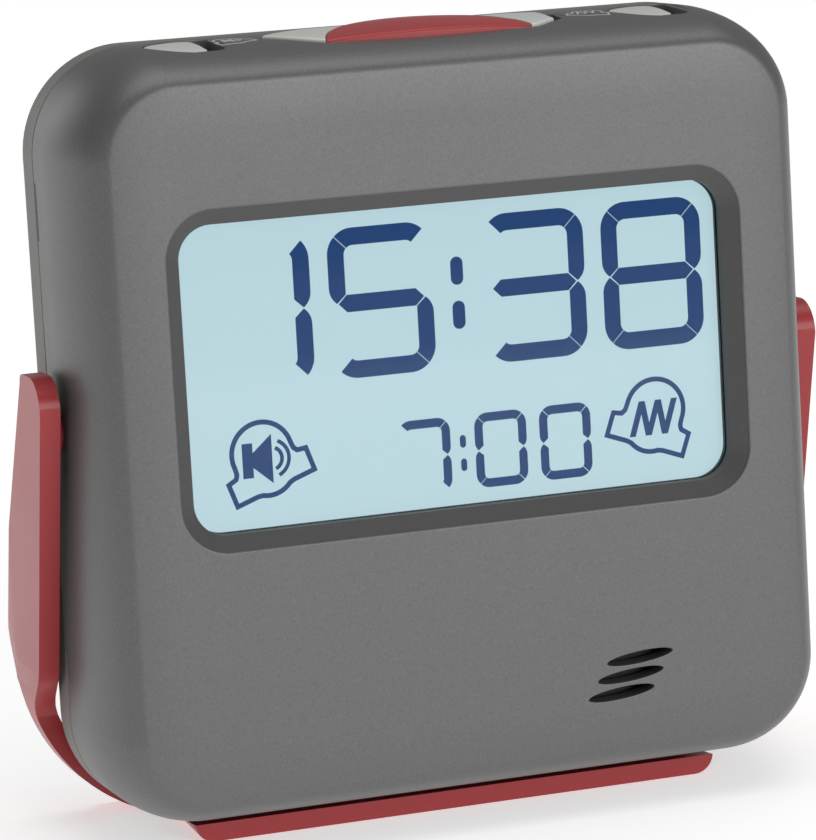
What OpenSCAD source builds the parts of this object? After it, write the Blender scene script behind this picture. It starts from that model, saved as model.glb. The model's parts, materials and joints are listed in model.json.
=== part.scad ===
// Travel alarm clock: two-shell case, LCD display, top snooze bar and sliders, swinging stirrup stand.
// Case frame: X to the right, Y from the front face backwards, Z up from the middle of the case.
// Row frame: the case leans back on its foot, whose flat underside is the plane Z = 0.

/* [Case] */
// Width of the case
case_w = 85; // [80:1:92]
// Height of the case
case_h = 84.9; // [81:1:92]
// Depth of the case
case_d = 23.6; // [23.6:0.2:27]
// Radius of the four corners, seen from the front
corner_r = 11.7; // [9:0.1:14]
// How far the front edge rounding reaches in from the outline
front_in = 4.1; // [2.8:0.1:5]
// How far the front edge rounding reaches back
front_back = 12.1; // [8:0.1:14]
// How far the rear edge rounding reaches in from the outline
rear_in = 4.9; // [3.2:0.1:5]
// How far the rear edge rounding reaches forward
rear_fore = 3.6; // [2.6:0.1:4.4]
// Wall thickness of both shells
wall = 2; // [1.6:0.1:2.2]
// Depth of the rear shell, from the seam to the back
rear_d = 7.1; // [6:0.1:8]
// Angle at which the case leans back on its stand
lean = 6; // [3:0.5:8]

/* [Display] */
// Width of the bevelled recess in the front face
recess_w = 66.2; // [58:0.5:68]
// Height of the bevelled recess
recess_h = 36.9; // [32:0.5:38]
// Height of the recess centre over the case centre
recess_z = 6.95; // [5:0.25:9]
// Corner radius of the recess
recess_r = 5.4; // [4:0.1:7]
// Width of the bevel around the display
bevel_w = 1.7; // [1:0.1:2]
// Depth of the bevel
bevel_d = 1.3; // [0.8:0.1:1.5]
// Depth of the liquid crystal panel's face behind the front face
lcd_y = 3.45; // [3.3:0.05:3.7]
// Thickness of the liquid crystal panel
lcd_t = 1.8; // [1.4:0.1:2]
// Thickness of the clear window
pane_t = 0.9; // [0.7:0.1:1.1]

/* [Speaker] */
// Radius of the speaker
speaker_r = 8; // [6.5:0.5:8]
// Distance of the speaker to the right of the case centre
speaker_x = 17.5; // [14:0.5:20]
// Distance of the speaker below the case centre
speaker_drop = 30.5; // [30:0.25:31]
// Length of one sound slot
slot_l = 7.9; // [6:0.1:9]
// Width of one sound slot at its middle
slot_w = 1.05; // [0.8:0.05:1.4]
// Number of sound slots
slot_n = 3; // [2:1:4]

/* [Top controls] */
// Length of the snooze bar opening
snooze_l = 34; // [28:1:35]
// Width of the snooze bar opening
snooze_w = 10.8; // [9:0.1:11.5]
// Distance of the snooze bar and the sliders behind the front face
top_y = 10.4; // [10:0.1:10.8]
// Downward travel of the snooze bar
snooze_travel = 0.8; // [0.5:0.1:0.9]
// Distance of each slider from the middle
slider_x = 27; // [26:0.25:28]
// Length of the pocket that a slider moves in
pocket_l = 8.5; // [8:0.1:9.4]
// Width of the pocket
pocket_w = 8.7; // [8:0.1:9.4]
// Radius of the two corners at the pocket's blunt end
pocket_r = 1.7; // [1:0.1:2.2]
// Travel of each slider
slider_travel = 1.8; // [1.4:0.1:2]

/* [Rear keys] */
// Radius of a rear key
key_r = 3.6; // [3:0.1:4.2]
// Distance between rear keys
key_pitch = 14; // [12:0.5:15]
// Height of the row of rear keys over the case centre
key_z = 20; // [17:0.5:22]
// Travel of a rear key
key_travel = 0.6; // [0.4:0.1:0.7]

/* [Stand] */
// Distance of the hinge line behind the front face
hinge_y = 13.2; // [12.4:0.1:13.4]
// Height of the hinge line over the case centre
hinge_z = 1.5; // [0:0.5:4]
// Radius of the hinge pins
pin_r = 1.8; // [1.5:0.1:2]
// Gap between the case side and a stand arm
arm_gap = 0.9; // [0.7:0.1:1.2]
// Thickness of the stand
arm_t = 2.3; // [1.8:0.1:2.8]
// Outer corner radius of the stand, seen from the front
stand_r = 20.2; // [17:0.1:22]
// Distance of the foot's front lip behind the front face
foot_y = 9.7; // [8:0.1:11]
// Height of the foot's front lip
foot_h = 2.1; // [1.7:0.1:3]
// Width of the foot's front lip
foot_w = 62; // [50:1:66]
// Distance of the arm's rear tip behind the front face
arm_tip = 31.5; // [29:0.5:34]

/* [Battery] */
// Diameter of a size AAA cell
cell_d = 10.4; // [10.3:0.1:10.5]
// Length of a size AAA cell
cell_l = 44.1; // [43.9:0.1:44.5]

/* [Hidden] */
$fn = 48;

// Half sizes and main depths
hw = case_w / 2;
hh = case_h / 2;
seam_y = case_d - rear_d;
back_in = case_d - wall;
shell_gap = 0.1;
over = 1;

// Clearances
run_fit = 0.05;
slide_fit = 0.2;
pilot_fit = 0.02;
air = 0.3;
// How far a boss or a rib runs into the wall that it stands on
root = 0.5;

// Display stack, front to back
view_w = recess_w - 2 * bevel_w;
view_h = recess_h - 2 * bevel_w;
view_r = recess_r - bevel_w;
pane_lap = 1.6;
glass_lap = 2.6;
frame_rim = 1.4;
light_t = 1.6;
board_y = 8;
board_t = 1.2;
board_back = board_y + board_t;
lcd_back = lcd_y + lcd_t;
frame_w = view_w + 2 * glass_lap + 2 * frame_rim;
frame_h = view_h + 2 * glass_lap + 2 * frame_rim;

// Main board
board_hw = min(35, hw - wall - 4);
board_top = hh - wall - 4.4;
board_low = recess_z - frame_h / 2 - 5;
case_screw_in = 9;
board_screw_x = 14;
board_screw_top = recess_z + frame_h / 2 + 3.6;
board_screw_low = board_low + 2.4;

// Case screws and their bosses
case_boss_r = 3;
case_screw_r = 1.25;
case_head_r = 2.5;
case_head_h = 1.2;
board_boss_r = 2;
board_screw_r = 1;
board_head_r = 1.9;
board_head_h = 0.9;

// Wires
wire_r = 0.4;
thin_wire_r = 0.35;

// Lip of the rear shell that plugs into the front one, and the thumb notch at the seam
lip_l = 2;
lip_t = 1.1;
lip_collar = 1.4;
notch_d = 0.7;
notch_low = 22;
notch_high = 28.3;

// Speaker and its cup
cup_t = 1.2;
cup_h = 2.6;
foam_t = 0.5;
cone_rim = 1.4;
slot_pitch = [-1.2, -1.9];
slot_tilt = 5;

// Battery tray in the rear shell
cell_r = cell_d / 2;
cell_pitch = cell_d + 1.1;
tray_z = -13.75;
spring_l = 4.6;
plate_t = 0.5;
tray_hx = (cell_l + spring_l) / 2 + plate_t + 0.35;
tray_hz = cell_pitch / 2 + cell_r + 0.7;
tray_wall = 1.2;
cell_y = back_in - 0.15 - cell_r;
tray_front = board_back + 0.7;
door_lap = 1.6;
door_t = 1;
tray_floor_t = 0.8;
mouth_in = 0.6;
grip_w = 9;
grip_h = 0.6;
grip_deep = 0.4;
grip_z = 5;
grip_pitch = 1.5;
contact_w = 8;
cell_shift = (spring_l - 0.1) / 2;
lead_lane = tray_hx + tray_wall + 1;
board_screw_wide = max(frame_w / 2 - 5, lead_lane + 2 * wire_r + board_head_r);

// Vibration motor
motor_r = 4;
motor_l = 16;
motor_x = -29;
motor_y = 11;
motor_z = -(hh - 9.45);
boot_t = 1;
boot_l = 8;
shaft_r = 0.75;
weight_r = 5;
weight_l = 5.5;
weight_gap = 1;
weight_hub_r = 1.8;
rib_t = 1.6;
rib_places = [4, 10];
weight_x = motor_x + motor_l + weight_gap;

// Rear keys
key_proud = 0.5;
key_flange = 1;
key_flange_t = 0.9;
key_flange_y = back_in - 1.3;
key_stem_r = 1.5;
key_stem_l = 6.1;

// Push switches
tact_w = 6;
tact_t = 3.4;

// Snooze bar
bar_top = 0.25;
cap_top = 0.75;
cap_seat = 0.5;
flange_out = 0.7;
flange_t = 0.9;
bar_low = hh - wall - 2.3;
cap_arc_r = 12.3;
cap_half = 12;
cap_dome = 0.65;
bar_blunt = 1.7;
bar_tail = 2.4;
bar_shift = 0.4;
bar_end_r = 4;

// Sliders
pocket_end = pocket_l / 2;
knob_fit = 0.15;
knob_end = pocket_end - slider_travel - 0.4;
pocket_floor = hh - wall + 0.75;
stem_w = 2.4;
stem_t = 1.6;
switch_top = board_top + 0.2;
switch_deep = 1.5;

// Stand
arm_in = hw + arm_gap;
arm_out = arm_in + arm_t;
sweep_r = norm([case_d - rear_fore - hinge_y, hh + hinge_z]) + 0.25;
lip_top = hinge_z - sqrt(sweep_r * sweep_r - (hinge_y - foot_y) * (hinge_y - foot_y));
lip_low = lip_top - foot_h;
stand_cx = arm_out - stand_r;
stand_cz = lip_low + stand_r;
band_front = case_d - 0.4;
band_rear = case_d + 2.6;
bar_rear = case_d + 3.4;
arm_top = hinge_z + 6.4;
arm_top_w = 2.4;
arm_corner = 3.6;
arm_blend_z = stand_cz - 0.5;
arm_front = hinge_y - 3.9;
arm_slope = 0.265;
tip_z = stand_cz + 2.5;

// Place of the case frame in the row frame
front_reach = front_back * cos(lean) - (hh - front_in) * sin(lean)
    - norm([front_back * cos(lean), front_in * sin(lean)]);
rear_reach = arm_tip * cos(lean) + tip_z * sin(lean);
row_y = -(front_reach + rear_reach) / 2;
row_z = foot_y * sin(lean) - lip_low * cos(lean);

// ---------------------------------------------------------------- helpers

module leaning() {
    translate([0, row_y, row_z]) rotate([-lean, 0, 0]) children();
}

// Extrude an (X, Z) outline from depth y0 to y1
module along_y(y0, y1) {
    translate([0, y1, 0]) rotate([90, 0, 0]) linear_extrude(y1 - y0) children();
}

// Extrude a (Y, Z) outline from x0 to x1
module along_x(x0, x1) {
    translate([x0, 0, 0]) rotate([90, 0, 90]) linear_extrude(x1 - x0) children();
}

// Extrude an (X, Y) outline from z0 to z1
module along_z(z0, z1) {
    translate([0, 0, z0]) linear_extrude(z1 - z0) children();
}

module block(x0, x1, y0, y1, z0, z1) {
    translate([x0, y0, z0]) cube([x1 - x0, y1 - y0, z1 - z0]);
}

module rod_y(x, z, r, y0, y1) {
    translate([x, y0, z]) rotate([-90, 0, 0]) cylinder(r = r, h = y1 - y0);
}

module rod_x(y, z, r, x0, x1) {
    translate([x0, y, z]) rotate([0, 90, 0]) cylinder(r = r, h = x1 - x0);
}

// Rectangle with round corners
module round_rect(w, h, r) {
    square([w - 2 * r, h], center = true);
    square([w, h - 2 * r], center = true);
    for (sx = [-1, 1], sy = [-1, 1]) translate([sx * (w / 2 - r), sy * (h / 2 - r)]) circle(r);
}

// Pointed oval between two equal arcs
module lens(l, w) {
    r = (l * l + w * w) / (4 * w);
    intersection() {
        translate([0, r - w / 2]) circle(r, $fn = 360);
        translate([0, w / 2 - r]) circle(r, $fn = 360);
    }
}

// Long oval with nearly straight sides and pointed ends
module boat(l, w) {
    intersection() {
        lens(l * 1.95, w);
        lens(l, w * 1.48);
    }
}

// Outline of a slider pocket: pointed on the left and blunt on the right, grown by g
module pocket_outline(g = 0) {
    half = pocket_w / 2 + g;
    intersection() {
        translate([pocket_end * 0.58, 0]) lens(pocket_l * 1.58 + 2 * g, pocket_w * 1.08 + 2 * g);
        translate([pocket_end + g - half * 1.5, 0]) round_rect(3 * half, 2 * half, pocket_r);
    }
}

// One step of an edge rounding: the case outline, grown, as a prism from depth y0 to y1
module outline_prism(grow, y0, y1) {
    r = corner_r + grow;
    for (sx = [-1, 1], sz = [-1, 1])
        translate([sx * (hw - corner_r), y0, sz * (hh - corner_r)])
            rotate([-90, 0, 0]) cylinder(r = r, h = y1 - y0, $fn = 32);
}

// Front part of the case as a solid, grown by g all round, back to depth y1
module front_solid(g, y1) {
    steps = 6;
    hull() for (k = [0 : steps]) {
        a = 90 * k / steps;
        outline_prism(g - (front_in + g) * (1 - cos(a)), -g + (front_back + g) * (1 - sin(a)), y1);
    }
}

// Rear part of the case as a solid, grown by g all round, from depth y0
module rear_solid(g, y0) {
    steps = 5;
    hull() for (k = [0 : steps]) {
        a = 90 * k / steps;
        outline_prism(g - (rear_in + g) * (1 - cos(a)), y0, case_d + g - (rear_fore + g) * (1 - sin(a)));
    }
}

module case_screw_places() {
    for (sx = [-1, 1], sz = [-1, 1])
        translate([sx * (hw - case_screw_in), 0, sz * (hh - case_screw_in)]) children();
}

module board_screw_places() {
    for (sx = [-1, 1]) {
        translate([sx * board_screw_x, 0, board_screw_top]) children();
        translate([sx * board_screw_wide, 0, board_screw_low]) children();
    }
}

// Pan-head screw that points forward, its head's underside at depth y
module screw(y, r, l, head_r, head_h) {
    difference() {
        union() {
            rod_y(0, 0, r, y - l, y);
            rod_y(0, 0, head_r, y, y + head_h);
        }
        for (a = [0, 90]) rotate([0, a, 0])
            block(-head_r * 0.6, head_r * 0.6, y + head_h * 0.4, y + head_h + over, -0.3, 0.3);
    }
}

module link(a, b, r) {
    v = b - a;
    translate(a) rotate([0, acos(v.z / norm(v)), atan2(v.y, v.x)]) cylinder(r = r, h = norm(v), $fn = 16);
}

module wire(points, r) {
    for (i = [0 : len(points) - 2]) link(points[i], points[i + 1], r);
    for (i = [1 : len(points) - 2]) translate(points[i]) sphere(r * 1.2, $fn = 16);
}

// ---------------------------------------------------------------- case

module speaker_slots() {
    for (k = [0 : slot_n - 1]) {
        n = k - (slot_n - 1) / 2;
        translate([speaker_x, -speaker_drop] + n * slot_pitch) rotate(slot_tilt) lens(slot_l, slot_w);
    }
}

module motor_ribs() {
    cradle_r = motor_r + boot_t + run_fit;
    for (place = rib_places) {
        x = motor_x + place;
        difference() {
            block(x, x + rib_t, wall - root, motor_y, motor_z - motor_r - 1.2, motor_z + motor_r + 1.8);
            rod_x(motor_y, motor_z, cradle_r, x - over, x + rib_t + over);
        }
    }
}

module front_shell() {
    boss_end = back_in - slide_fit;
    color("dimgray") leaning() difference() {
        union() {
            difference() {
                front_solid(0, seam_y);
                front_solid(-wall, seam_y + over);
            }
            case_screw_places() rod_y(0, 0, case_boss_r, wall - root, boss_end);
            board_screw_places() rod_y(0, 0, board_boss_r, wall - root, board_y);
            difference() {
                rod_y(speaker_x, -speaker_drop, speaker_r + cup_t, wall - root, wall + cup_h);
                rod_y(speaker_x, -speaker_drop, speaker_r + slide_fit, wall, wall + cup_h + over);
            }
            motor_ribs();
        }
        hull() {
            along_y(-0.02, -0.01) translate([0, recess_z]) round_rect(recess_w, recess_h, recess_r);
            along_y(bevel_d, bevel_d + 0.01) translate([0, recess_z]) round_rect(view_w, view_h, view_r);
        }
        along_y(bevel_d - 0.01, wall + over) translate([0, recess_z]) round_rect(view_w, view_h, view_r);
        along_y(-over, wall + 0.4) speaker_slots();
        along_z(bar_low, hh + over) bar_outline(0);
        for (sx = [-1, 1]) {
            along_z(pocket_floor, hh + over) translate([sx * slider_x, top_y]) pocket_outline();
            translate([sx * slider_x, top_y, 0])
                block(-stem_w - slide_fit, slider_travel + slide_fit, -stem_t / 2 - slide_fit,
                    stem_t / 2 + slide_fit, pocket_floor - wall, hh);
        }
        rod_x(hinge_y, hinge_z, pin_r + run_fit, -hw - over, hw + over);
        case_screw_places() rod_y(0, 0, case_screw_r + pilot_fit, case_d - 16, case_d);
        board_screw_places() rod_y(0, 0, board_screw_r + pilot_fit, board_y - 5, board_y + over);
        block(-hw - over, -hw + notch_d, seam_y - notch_d, seam_y + over, notch_low, notch_high);
    }
}

module tray_outline(grow) {
    translate([0, tray_z]) round_rect(2 * (tray_hx + grow), 2 * (tray_hz + grow), 0.8 + max(0, grow));
}

module rear_shell() {
    lip_w = case_w - 2 * (wall + shell_gap);
    lip_h = case_h - 2 * (wall + shell_gap);
    lip_r = corner_r - wall - shell_gap;
    color("gray") leaning() difference() {
        union() {
            difference() {
                rear_solid(0, seam_y);
                rear_solid(-wall, seam_y - over);
            }
            difference() {
                union() {
                    along_y(seam_y - lip_l, seam_y + lip_collar) round_rect(lip_w, lip_h, lip_r);
                    along_y(seam_y + 0.3, seam_y + lip_collar)
                        round_rect(case_w - wall, case_h - wall, corner_r - wall / 2);
                }
                along_y(seam_y - lip_l - over, seam_y + lip_collar + over)
                    round_rect(lip_w - 2 * lip_t, lip_h - 2 * lip_t, lip_r - lip_t);
                block(-hw, hw, seam_y - lip_l - over, seam_y - shell_gap, hh - corner_r, hh);
            }
            difference() {
                along_y(tray_front, back_in + 0.5) tray_outline(tray_wall);
                along_y(tray_front + tray_floor_t, case_d + over) tray_outline(0);
            }
        }
        along_y(back_in - over, case_d + over) tray_outline(-mouth_in);
        along_y(case_d - door_t, case_d + over) tray_outline(door_lap + slide_fit);
        for (k = [-1.5 : 1.5]) rod_y(k * key_pitch, key_z, key_r + slide_fit, back_in - over, case_d + over);
        case_screw_places() {
            rod_y(0, 0, case_screw_r + 0.25, back_in - over, case_d + over);
            rod_y(0, 0, case_head_r + slide_fit, case_d - case_head_h - slide_fit, case_d + over);
        }
    }
}

module battery_door() {
    color("gray") leaning() difference() {
        union() {
            along_y(case_d - door_t + run_fit, case_d) tray_outline(door_lap);
            along_y(back_in + 0.1, case_d - door_t + 0.1) tray_outline(-mouth_in - slide_fit);
        }
        for (k = [0 : 3]) translate([0, 0, tray_z + grip_z + k * grip_pitch])
            block(-grip_w / 2, grip_w / 2, case_d - grip_deep, case_d + over, 0, grip_h);
    }
}

// ---------------------------------------------------------------- display

module display_window() {
    color("whitesmoke", 0.3) leaning() along_y(wall, wall + pane_t)
        translate([0, recess_z]) round_rect(view_w + 2 * pane_lap, view_h + 2 * pane_lap, view_r);
}

module lcd_frame() {
    seat = lcd_y - run_fit;
    color([0.06, 0.06, 0.07]) leaning() difference() {
        along_y(wall + pane_t + run_fit, board_y - run_fit) translate([0, recess_z])
            round_rect(frame_w, frame_h, view_r);
        along_y(wall, seat + over) translate([0, recess_z]) round_rect(view_w, view_h, view_r);
        along_y(seat, board_y + over) translate([0, recess_z])
            square([view_w + 2 * glass_lap, view_h + 2 * glass_lap], center = true);
    }
}

module lcd_panel() {
    color([0.72, 0.83, 0.86]) leaning() along_y(lcd_y, lcd_back) translate([0, recess_z])
        square([view_w + 2 * glass_lap - 0.2, view_h + 2 * glass_lap - 0.2], center = true);
}

module backlight_panel() {
    y0 = lcd_back + run_fit;
    top = recess_z + view_h / 2 + glass_lap - 0.1;
    color("white") leaning() block(-view_w / 2, view_w / 2, y0, y0 + light_t, top - view_h - 1, top);
}

module zebra_strip() {
    low = recess_z - view_h / 2 - glass_lap + 0.4;
    color([0.9, 0.45, 0.55]) leaning() block(-26, 26, lcd_back, board_y, low, low + 1.8);
}

// ---------------------------------------------------------------- electronics

module main_board() {
    color("darkgreen") leaning() difference() {
        block(-board_hw, board_hw, board_y, board_back, board_low, board_top);
        case_screw_places() rod_y(0, 0, case_boss_r + 0.4, board_y - over, board_back + over);
        board_screw_places() rod_y(0, 0, board_screw_r + 0.2, board_y - over, board_back + over);
    }
}

module controller_chip() {
    color([0.08, 0.08, 0.08]) leaning() translate([-14, board_back, key_z - 11]) rotate([-90, 0, 0])
        cylinder(r1 = 5, r2 = 3.4, h = 1.2);
}

module quartz_crystal() {
    color("silver") leaning() rod_x(board_back + 1, key_z - 11, 1, 6, 12);
}

module slide_switches() {
    color("silver") leaning() for (sx = [-1, 1]) translate([sx * slider_x, 0, 0]) difference() {
        block(-3.3, 3.2, board_back, top_y + 2.8, board_top - 4, switch_top);
        block(-stem_w - air, slider_travel + air, top_y - stem_t / 2 - air, top_y + stem_t / 2 + air,
            switch_top - switch_deep, switch_top + over);
    }
}

module tact_switches() {
    plunger_r = 1.6;
    tact_hw = tact_w / 2;
    tact_back = board_back + tact_t;
    plunger_end = key_flange_y - key_stem_l - key_travel - 0.1;
    snooze_low = bar_low - snooze_travel;
    color([0.25, 0.25, 0.27]) leaning() {
        for (k = [-1.5 : 1.5]) {
            x = k * key_pitch;
            block(x - tact_hw, x + tact_hw, board_back, tact_back, key_z - tact_hw, key_z + tact_hw);
            rod_y(x, key_z, plunger_r, tact_back - 0.2, plunger_end);
        }
        block(-tact_hw, tact_hw, board_back, tact_back, board_top - 3.5, snooze_low - 1);
        translate([0, board_back + tact_t / 2, board_top - 1])
            cylinder(r = 1.2, h = snooze_low - 0.3 - board_top + 1);
    }
}

module speaker() {
    y0 = wall + foam_t;
    basket_h = 2.4;
    magnet_h = 1.6;
    color([0.15, 0.15, 0.16]) leaning() union() {
        difference() {
            rod_y(speaker_x, -speaker_drop, speaker_r, y0, y0 + basket_h);
            rod_y(speaker_x, -speaker_drop, speaker_r - cone_rim, y0 - over, y0 + 0.8);
        }
        rod_y(speaker_x, -speaker_drop, speaker_r * 0.6, y0 + basket_h - 0.1, y0 + basket_h + magnet_h);
    }
}

module speaker_gasket() {
    color([0.05, 0.05, 0.05]) leaning() difference() {
        rod_y(speaker_x, -speaker_drop, speaker_r - 0.1, wall, wall + foam_t);
        rod_y(speaker_x, -speaker_drop, speaker_r - cone_rim, 0, wall + over);
    }
}

module speaker_leads() {
    y0 = wall + 2.9;
    color("crimson") leaning() for (sx = [-1, 1]) {
        x = speaker_x + sx * 6.2;
        z = -speaker_drop;
        wire([[x, y0, z], [x, y0 + 3, z], [x, board_y - 1.2, board_low + 2.6], [x, board_y, board_low + 2.6]],
            wire_r);
    }
}

module vibration_motor() {
    bore_r = shaft_r + run_fit;
    color("silver") leaning() difference() {
        union() {
            rod_x(motor_y, motor_z, motor_r, motor_x, motor_x + motor_l - 0.6);
            rod_x(motor_y, motor_z, 2, motor_x, motor_x + motor_l);
        }
        rod_x(motor_y, motor_z, bore_r, motor_x + 2, motor_x + motor_l + over);
    }
}

module motor_boot() {
    x0 = motor_x + (motor_l - boot_l) / 2;
    color([0.1, 0.1, 0.1]) leaning() difference() {
        rod_x(motor_y, motor_z, motor_r + boot_t, x0, x0 + boot_l);
        rod_x(motor_y, motor_z, motor_r, x0 - over, x0 + boot_l + over);
    }
}

module motor_shaft() {
    color("lightgray") leaning() rod_x(motor_y, motor_z, shaft_r, motor_x + 2.2, weight_x + weight_l + 0.5);
}

// Half disc that hangs straight down at rest
module eccentric_weight() {
    color("goldenrod") leaning() translate([0, motor_y, motor_z]) rotate([lean, 0, 0]) difference() {
        union() {
            intersection() {
                rod_x(0, 0, weight_r, weight_x, weight_x + weight_l);
                block(weight_x - over, weight_x + weight_l + over,
                    -2 * weight_r, 2 * weight_r, -2 * weight_r, 0);
            }
            rod_x(0, 0, weight_hub_r, weight_x, weight_x + weight_l);
        }
        rod_x(0, 0, shaft_r, weight_x - over, weight_x + weight_l + over);
    }
}

// From the motor's end cap up to the back of the board, in the lane beside the battery tray
module motor_leads() {
    cap_x = motor_x - 1.2;
    cap_z = motor_z + 2.6;
    color("royalblue") leaning() for (s = [-1, 1]) {
        y = motor_y + s * 1.6;
        pad_z = board_low + 3 + s * 1.4;
        wire([[motor_x, y, cap_z], [cap_x, y, cap_z], [cap_x, y, motor_z + motor_r + 1],
            [-lead_lane, board_back + 2 + s * 0.7, pad_z], [-lead_lane, board_back, pad_z]], thin_wire_r);
    }
}

// ---------------------------------------------------------------- power

module battery_cells() {
    nub_l = 1.2;
    color("darkorange") leaning() for (s = [-1, 1])
        translate([s * cell_shift, cell_y, tray_z + s * cell_pitch / 2]) rotate([0, s * 90, 0]) {
            translate([0, 0, -cell_l / 2]) cylinder(r = cell_r, h = cell_l - nub_l);
            translate([0, 0, cell_l / 2 - nub_l - 0.01]) cylinder(r = 1.9, h = nub_l + 0.01);
        }
}

module spring_contacts() {
    reach = spring_l - 0.05;
    color("silver") leaning() for (s = [-1, 1])
        translate([s * (cell_shift - cell_l / 2 - 0.05), cell_y, tray_z + s * cell_pitch / 2])
            rotate([0, -s * 90, 0]) {
                cylinder(r1 = 2.2, r2 = 3.4, h = reach);
                translate([-contact_w / 2, -contact_w / 2, reach - 0.01])
                    cube([contact_w, contact_w, plate_t]);
            }
}

module plate_contacts() {
    color("silver") leaning() for (s = [-1, 1])
        translate([s * (cell_shift + cell_l / 2 + 0.05), cell_y, tray_z + s * cell_pitch / 2])
            rotate([0, s * 90, 0]) translate([-contact_w / 2, -contact_w / 2, 0])
                cube([contact_w, contact_w, plate_t]);
}

module battery_leads() {
    color("crimson") leaning() for (s = [-1, 1]) {
        x = s * lead_lane;
        wire([[x - s, cell_y, tray_z + 4], [x, cell_y, tray_z + 4], [x, cell_y, tray_z + 7],
            [x, board_back, tray_z + 7]], wire_r);
    }
}

// ---------------------------------------------------------------- fasteners

module case_screws() {
    y = case_d - case_head_h - slide_fit;
    color("silver") leaning() case_screw_places() screw(y, case_screw_r, 12, case_head_r, case_head_h);
}

module board_screws() {
    color("silver") leaning() board_screw_places()
        screw(board_back, board_screw_r, 5.5, board_head_r, board_head_h);
}

// ---------------------------------------------------------------- stand

function smooth(t) = let (u = min(1, max(0, t))) u * u * (3 - 2 * u);
function mix(a, b, t) = a + (b - a) * t;

// Side outline of the arms: straight edges that blend into the narrow band round the corners
function arm_front_at(z) =
    mix(arm_front + arm_slope * (hinge_z - z), band_front, smooth((arm_blend_z - z) / 7));
function arm_rear_at(z) = z > tip_z
    ? arm_tip - (z - tip_z) * (arm_tip - hinge_y - arm_top_w) / (arm_top - tip_z)
    : mix(arm_tip, band_rear, smooth((tip_z - z) / 6.5));

module arm_side() {
    low = lip_low - 2;
    steps = 40;
    front_c = arm_front_at(arm_top - arm_corner) + arm_corner;
    rear_c = arm_rear_at(arm_top - 1) - 1;
    front_rows = [for (k = [0 : steps]) mix(arm_top - arm_corner, low, k / steps)];
    rear_rows = [for (k = [0 : steps]) mix(low, arm_top - 1, k / steps)];
    polygon(concat(
        [for (a = [90 : 10 : 180]) [front_c + arm_corner * cos(a), arm_top - arm_corner * (1 - sin(a))]],
        [for (z = front_rows) [arm_front_at(z), z]],
        [for (z = rear_rows) [arm_rear_at(z), z]],
        [for (a = [15 : 15 : 90]) [rear_c + cos(a), arm_top - 1 + sin(a)]]
    ));
}

module stirrup_outline(inset) {
    r = stand_r - inset;
    translate([-arm_out + inset, stand_cz]) square([2 * (arm_out - inset), arm_top - stand_cz + over]);
    translate([-stand_cx, stand_cz - r]) square([2 * stand_cx, r + over]);
    for (sx = [-1, 1]) translate([sx * stand_cx, stand_cz]) circle(r, $fn = 96);
}

// Everything above the plane that the foot stands on
module over_floor() {
    intersection() {
        children();
        translate([0, foot_y, lip_low]) rotate([lean, 0, 0]) translate([-60, -20, 0]) cube([120, 80, 80]);
    }
}

module foot_tongue() {
    r = 2.2;
    translate([0, foot_y, lip_low]) rotate([lean, 0, 0]) along_y(0, band_front - foot_y + over) {
        translate([-foot_w / 2, r]) square([foot_w, 3 * r]);
        translate([-foot_w / 2 + r, 0]) square([foot_w - 2 * r, r]);
        for (sx = [-1, 1]) translate([sx * (foot_w / 2 - r), r]) circle(r);
    }
}

module stand() {
    shoulder_r = 2.5;
    bevel_a = 7;
    bar_h = 4.6;
    color("firebrick") leaning() {
        difference() {
            over_floor() union() {
                intersection() {
                    along_x(-arm_out, arm_out) arm_side();
                    difference() {
                        along_y(0, arm_tip + over) stirrup_outline(0);
                        along_y(-over, arm_tip + 2 * over) stirrup_outline(arm_t);
                        along_y(-over, arm_tip + 2 * over) translate([-arm_in, 0]) square([2 * arm_in, 40]);
                    }
                }
                difference() {
                    union() {
                        along_y(band_front, bar_rear) intersection() {
                            stirrup_outline(0);
                            translate([-arm_out, lip_low]) square([2 * arm_out, bar_h]);
                        }
                        intersection() {
                            foot_tongue();
                            block(-arm_out, arm_out, 0, band_front + over,
                                lip_low - 4, hinge_z - sweep_r + 3);
                        }
                    }
                    rod_x(hinge_y, hinge_z, sweep_r, -arm_out - over, arm_out + over, $fn = 200);
                }
            }
            for (sx = [-1, 1]) translate([sx * arm_out, band_rear - 1, 0]) rotate([0, 0, sx * bevel_a])
                translate([sx > 0 ? 0 : -5, 0, -60]) cube([5, 12, 80]);
        }
        for (turn = [0, 1]) mirror([turn, 0, 0]) {
            rod_x(hinge_y, hinge_z, pin_r, hw - wall + 0.1, arm_in + 0.5);
            rod_x(hinge_y, hinge_z, shoulder_r, hw + air, arm_in + 0.5);
        }
    }
}

// ---------------------------------------------------------------- top controls

// Outline of the snooze opening, grown: pointed on the left and rounded off on the right
module bar_outline(grow) {
    intersection() {
        translate([bar_shift, top_y]) boat(snooze_l + bar_tail + 2 * grow, snooze_w + 2 * grow);
        translate([grow - snooze_l / 2, top_y]) round_rect(2 * snooze_l, snooze_w + 2 * grow, bar_end_r);
    }
}

module cap_outline() {
    intersection() {
        bar_outline(-slide_fit);
        translate([0, top_y + snooze_w / 2 - 0.8 - cap_arc_r]) circle(cap_arc_r, $fn = 96);
    }
}

module snooze_base() {
    color("gainsboro") leaning() {
        difference() {
            intersection() {
                along_z(bar_low, hh + 2) intersection() {
                    bar_outline(-slide_fit);
                    translate([-snooze_l, 0]) square([1.5 * snooze_l - bar_blunt, 2 * top_y]);
                }
                front_solid(bar_top, seam_y + over);
            }
            difference() {
                along_z(bar_low, hh + 3) cap_outline();
                front_solid(-cap_seat, seam_y + over);
            }
        }
        along_z(bar_low, bar_low + flange_t) bar_outline(flange_out);
        translate([0, board_back + 1.7, bar_low - 0.2]) cylinder(r = 1.4, h = 0.4);
    }
}

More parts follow.
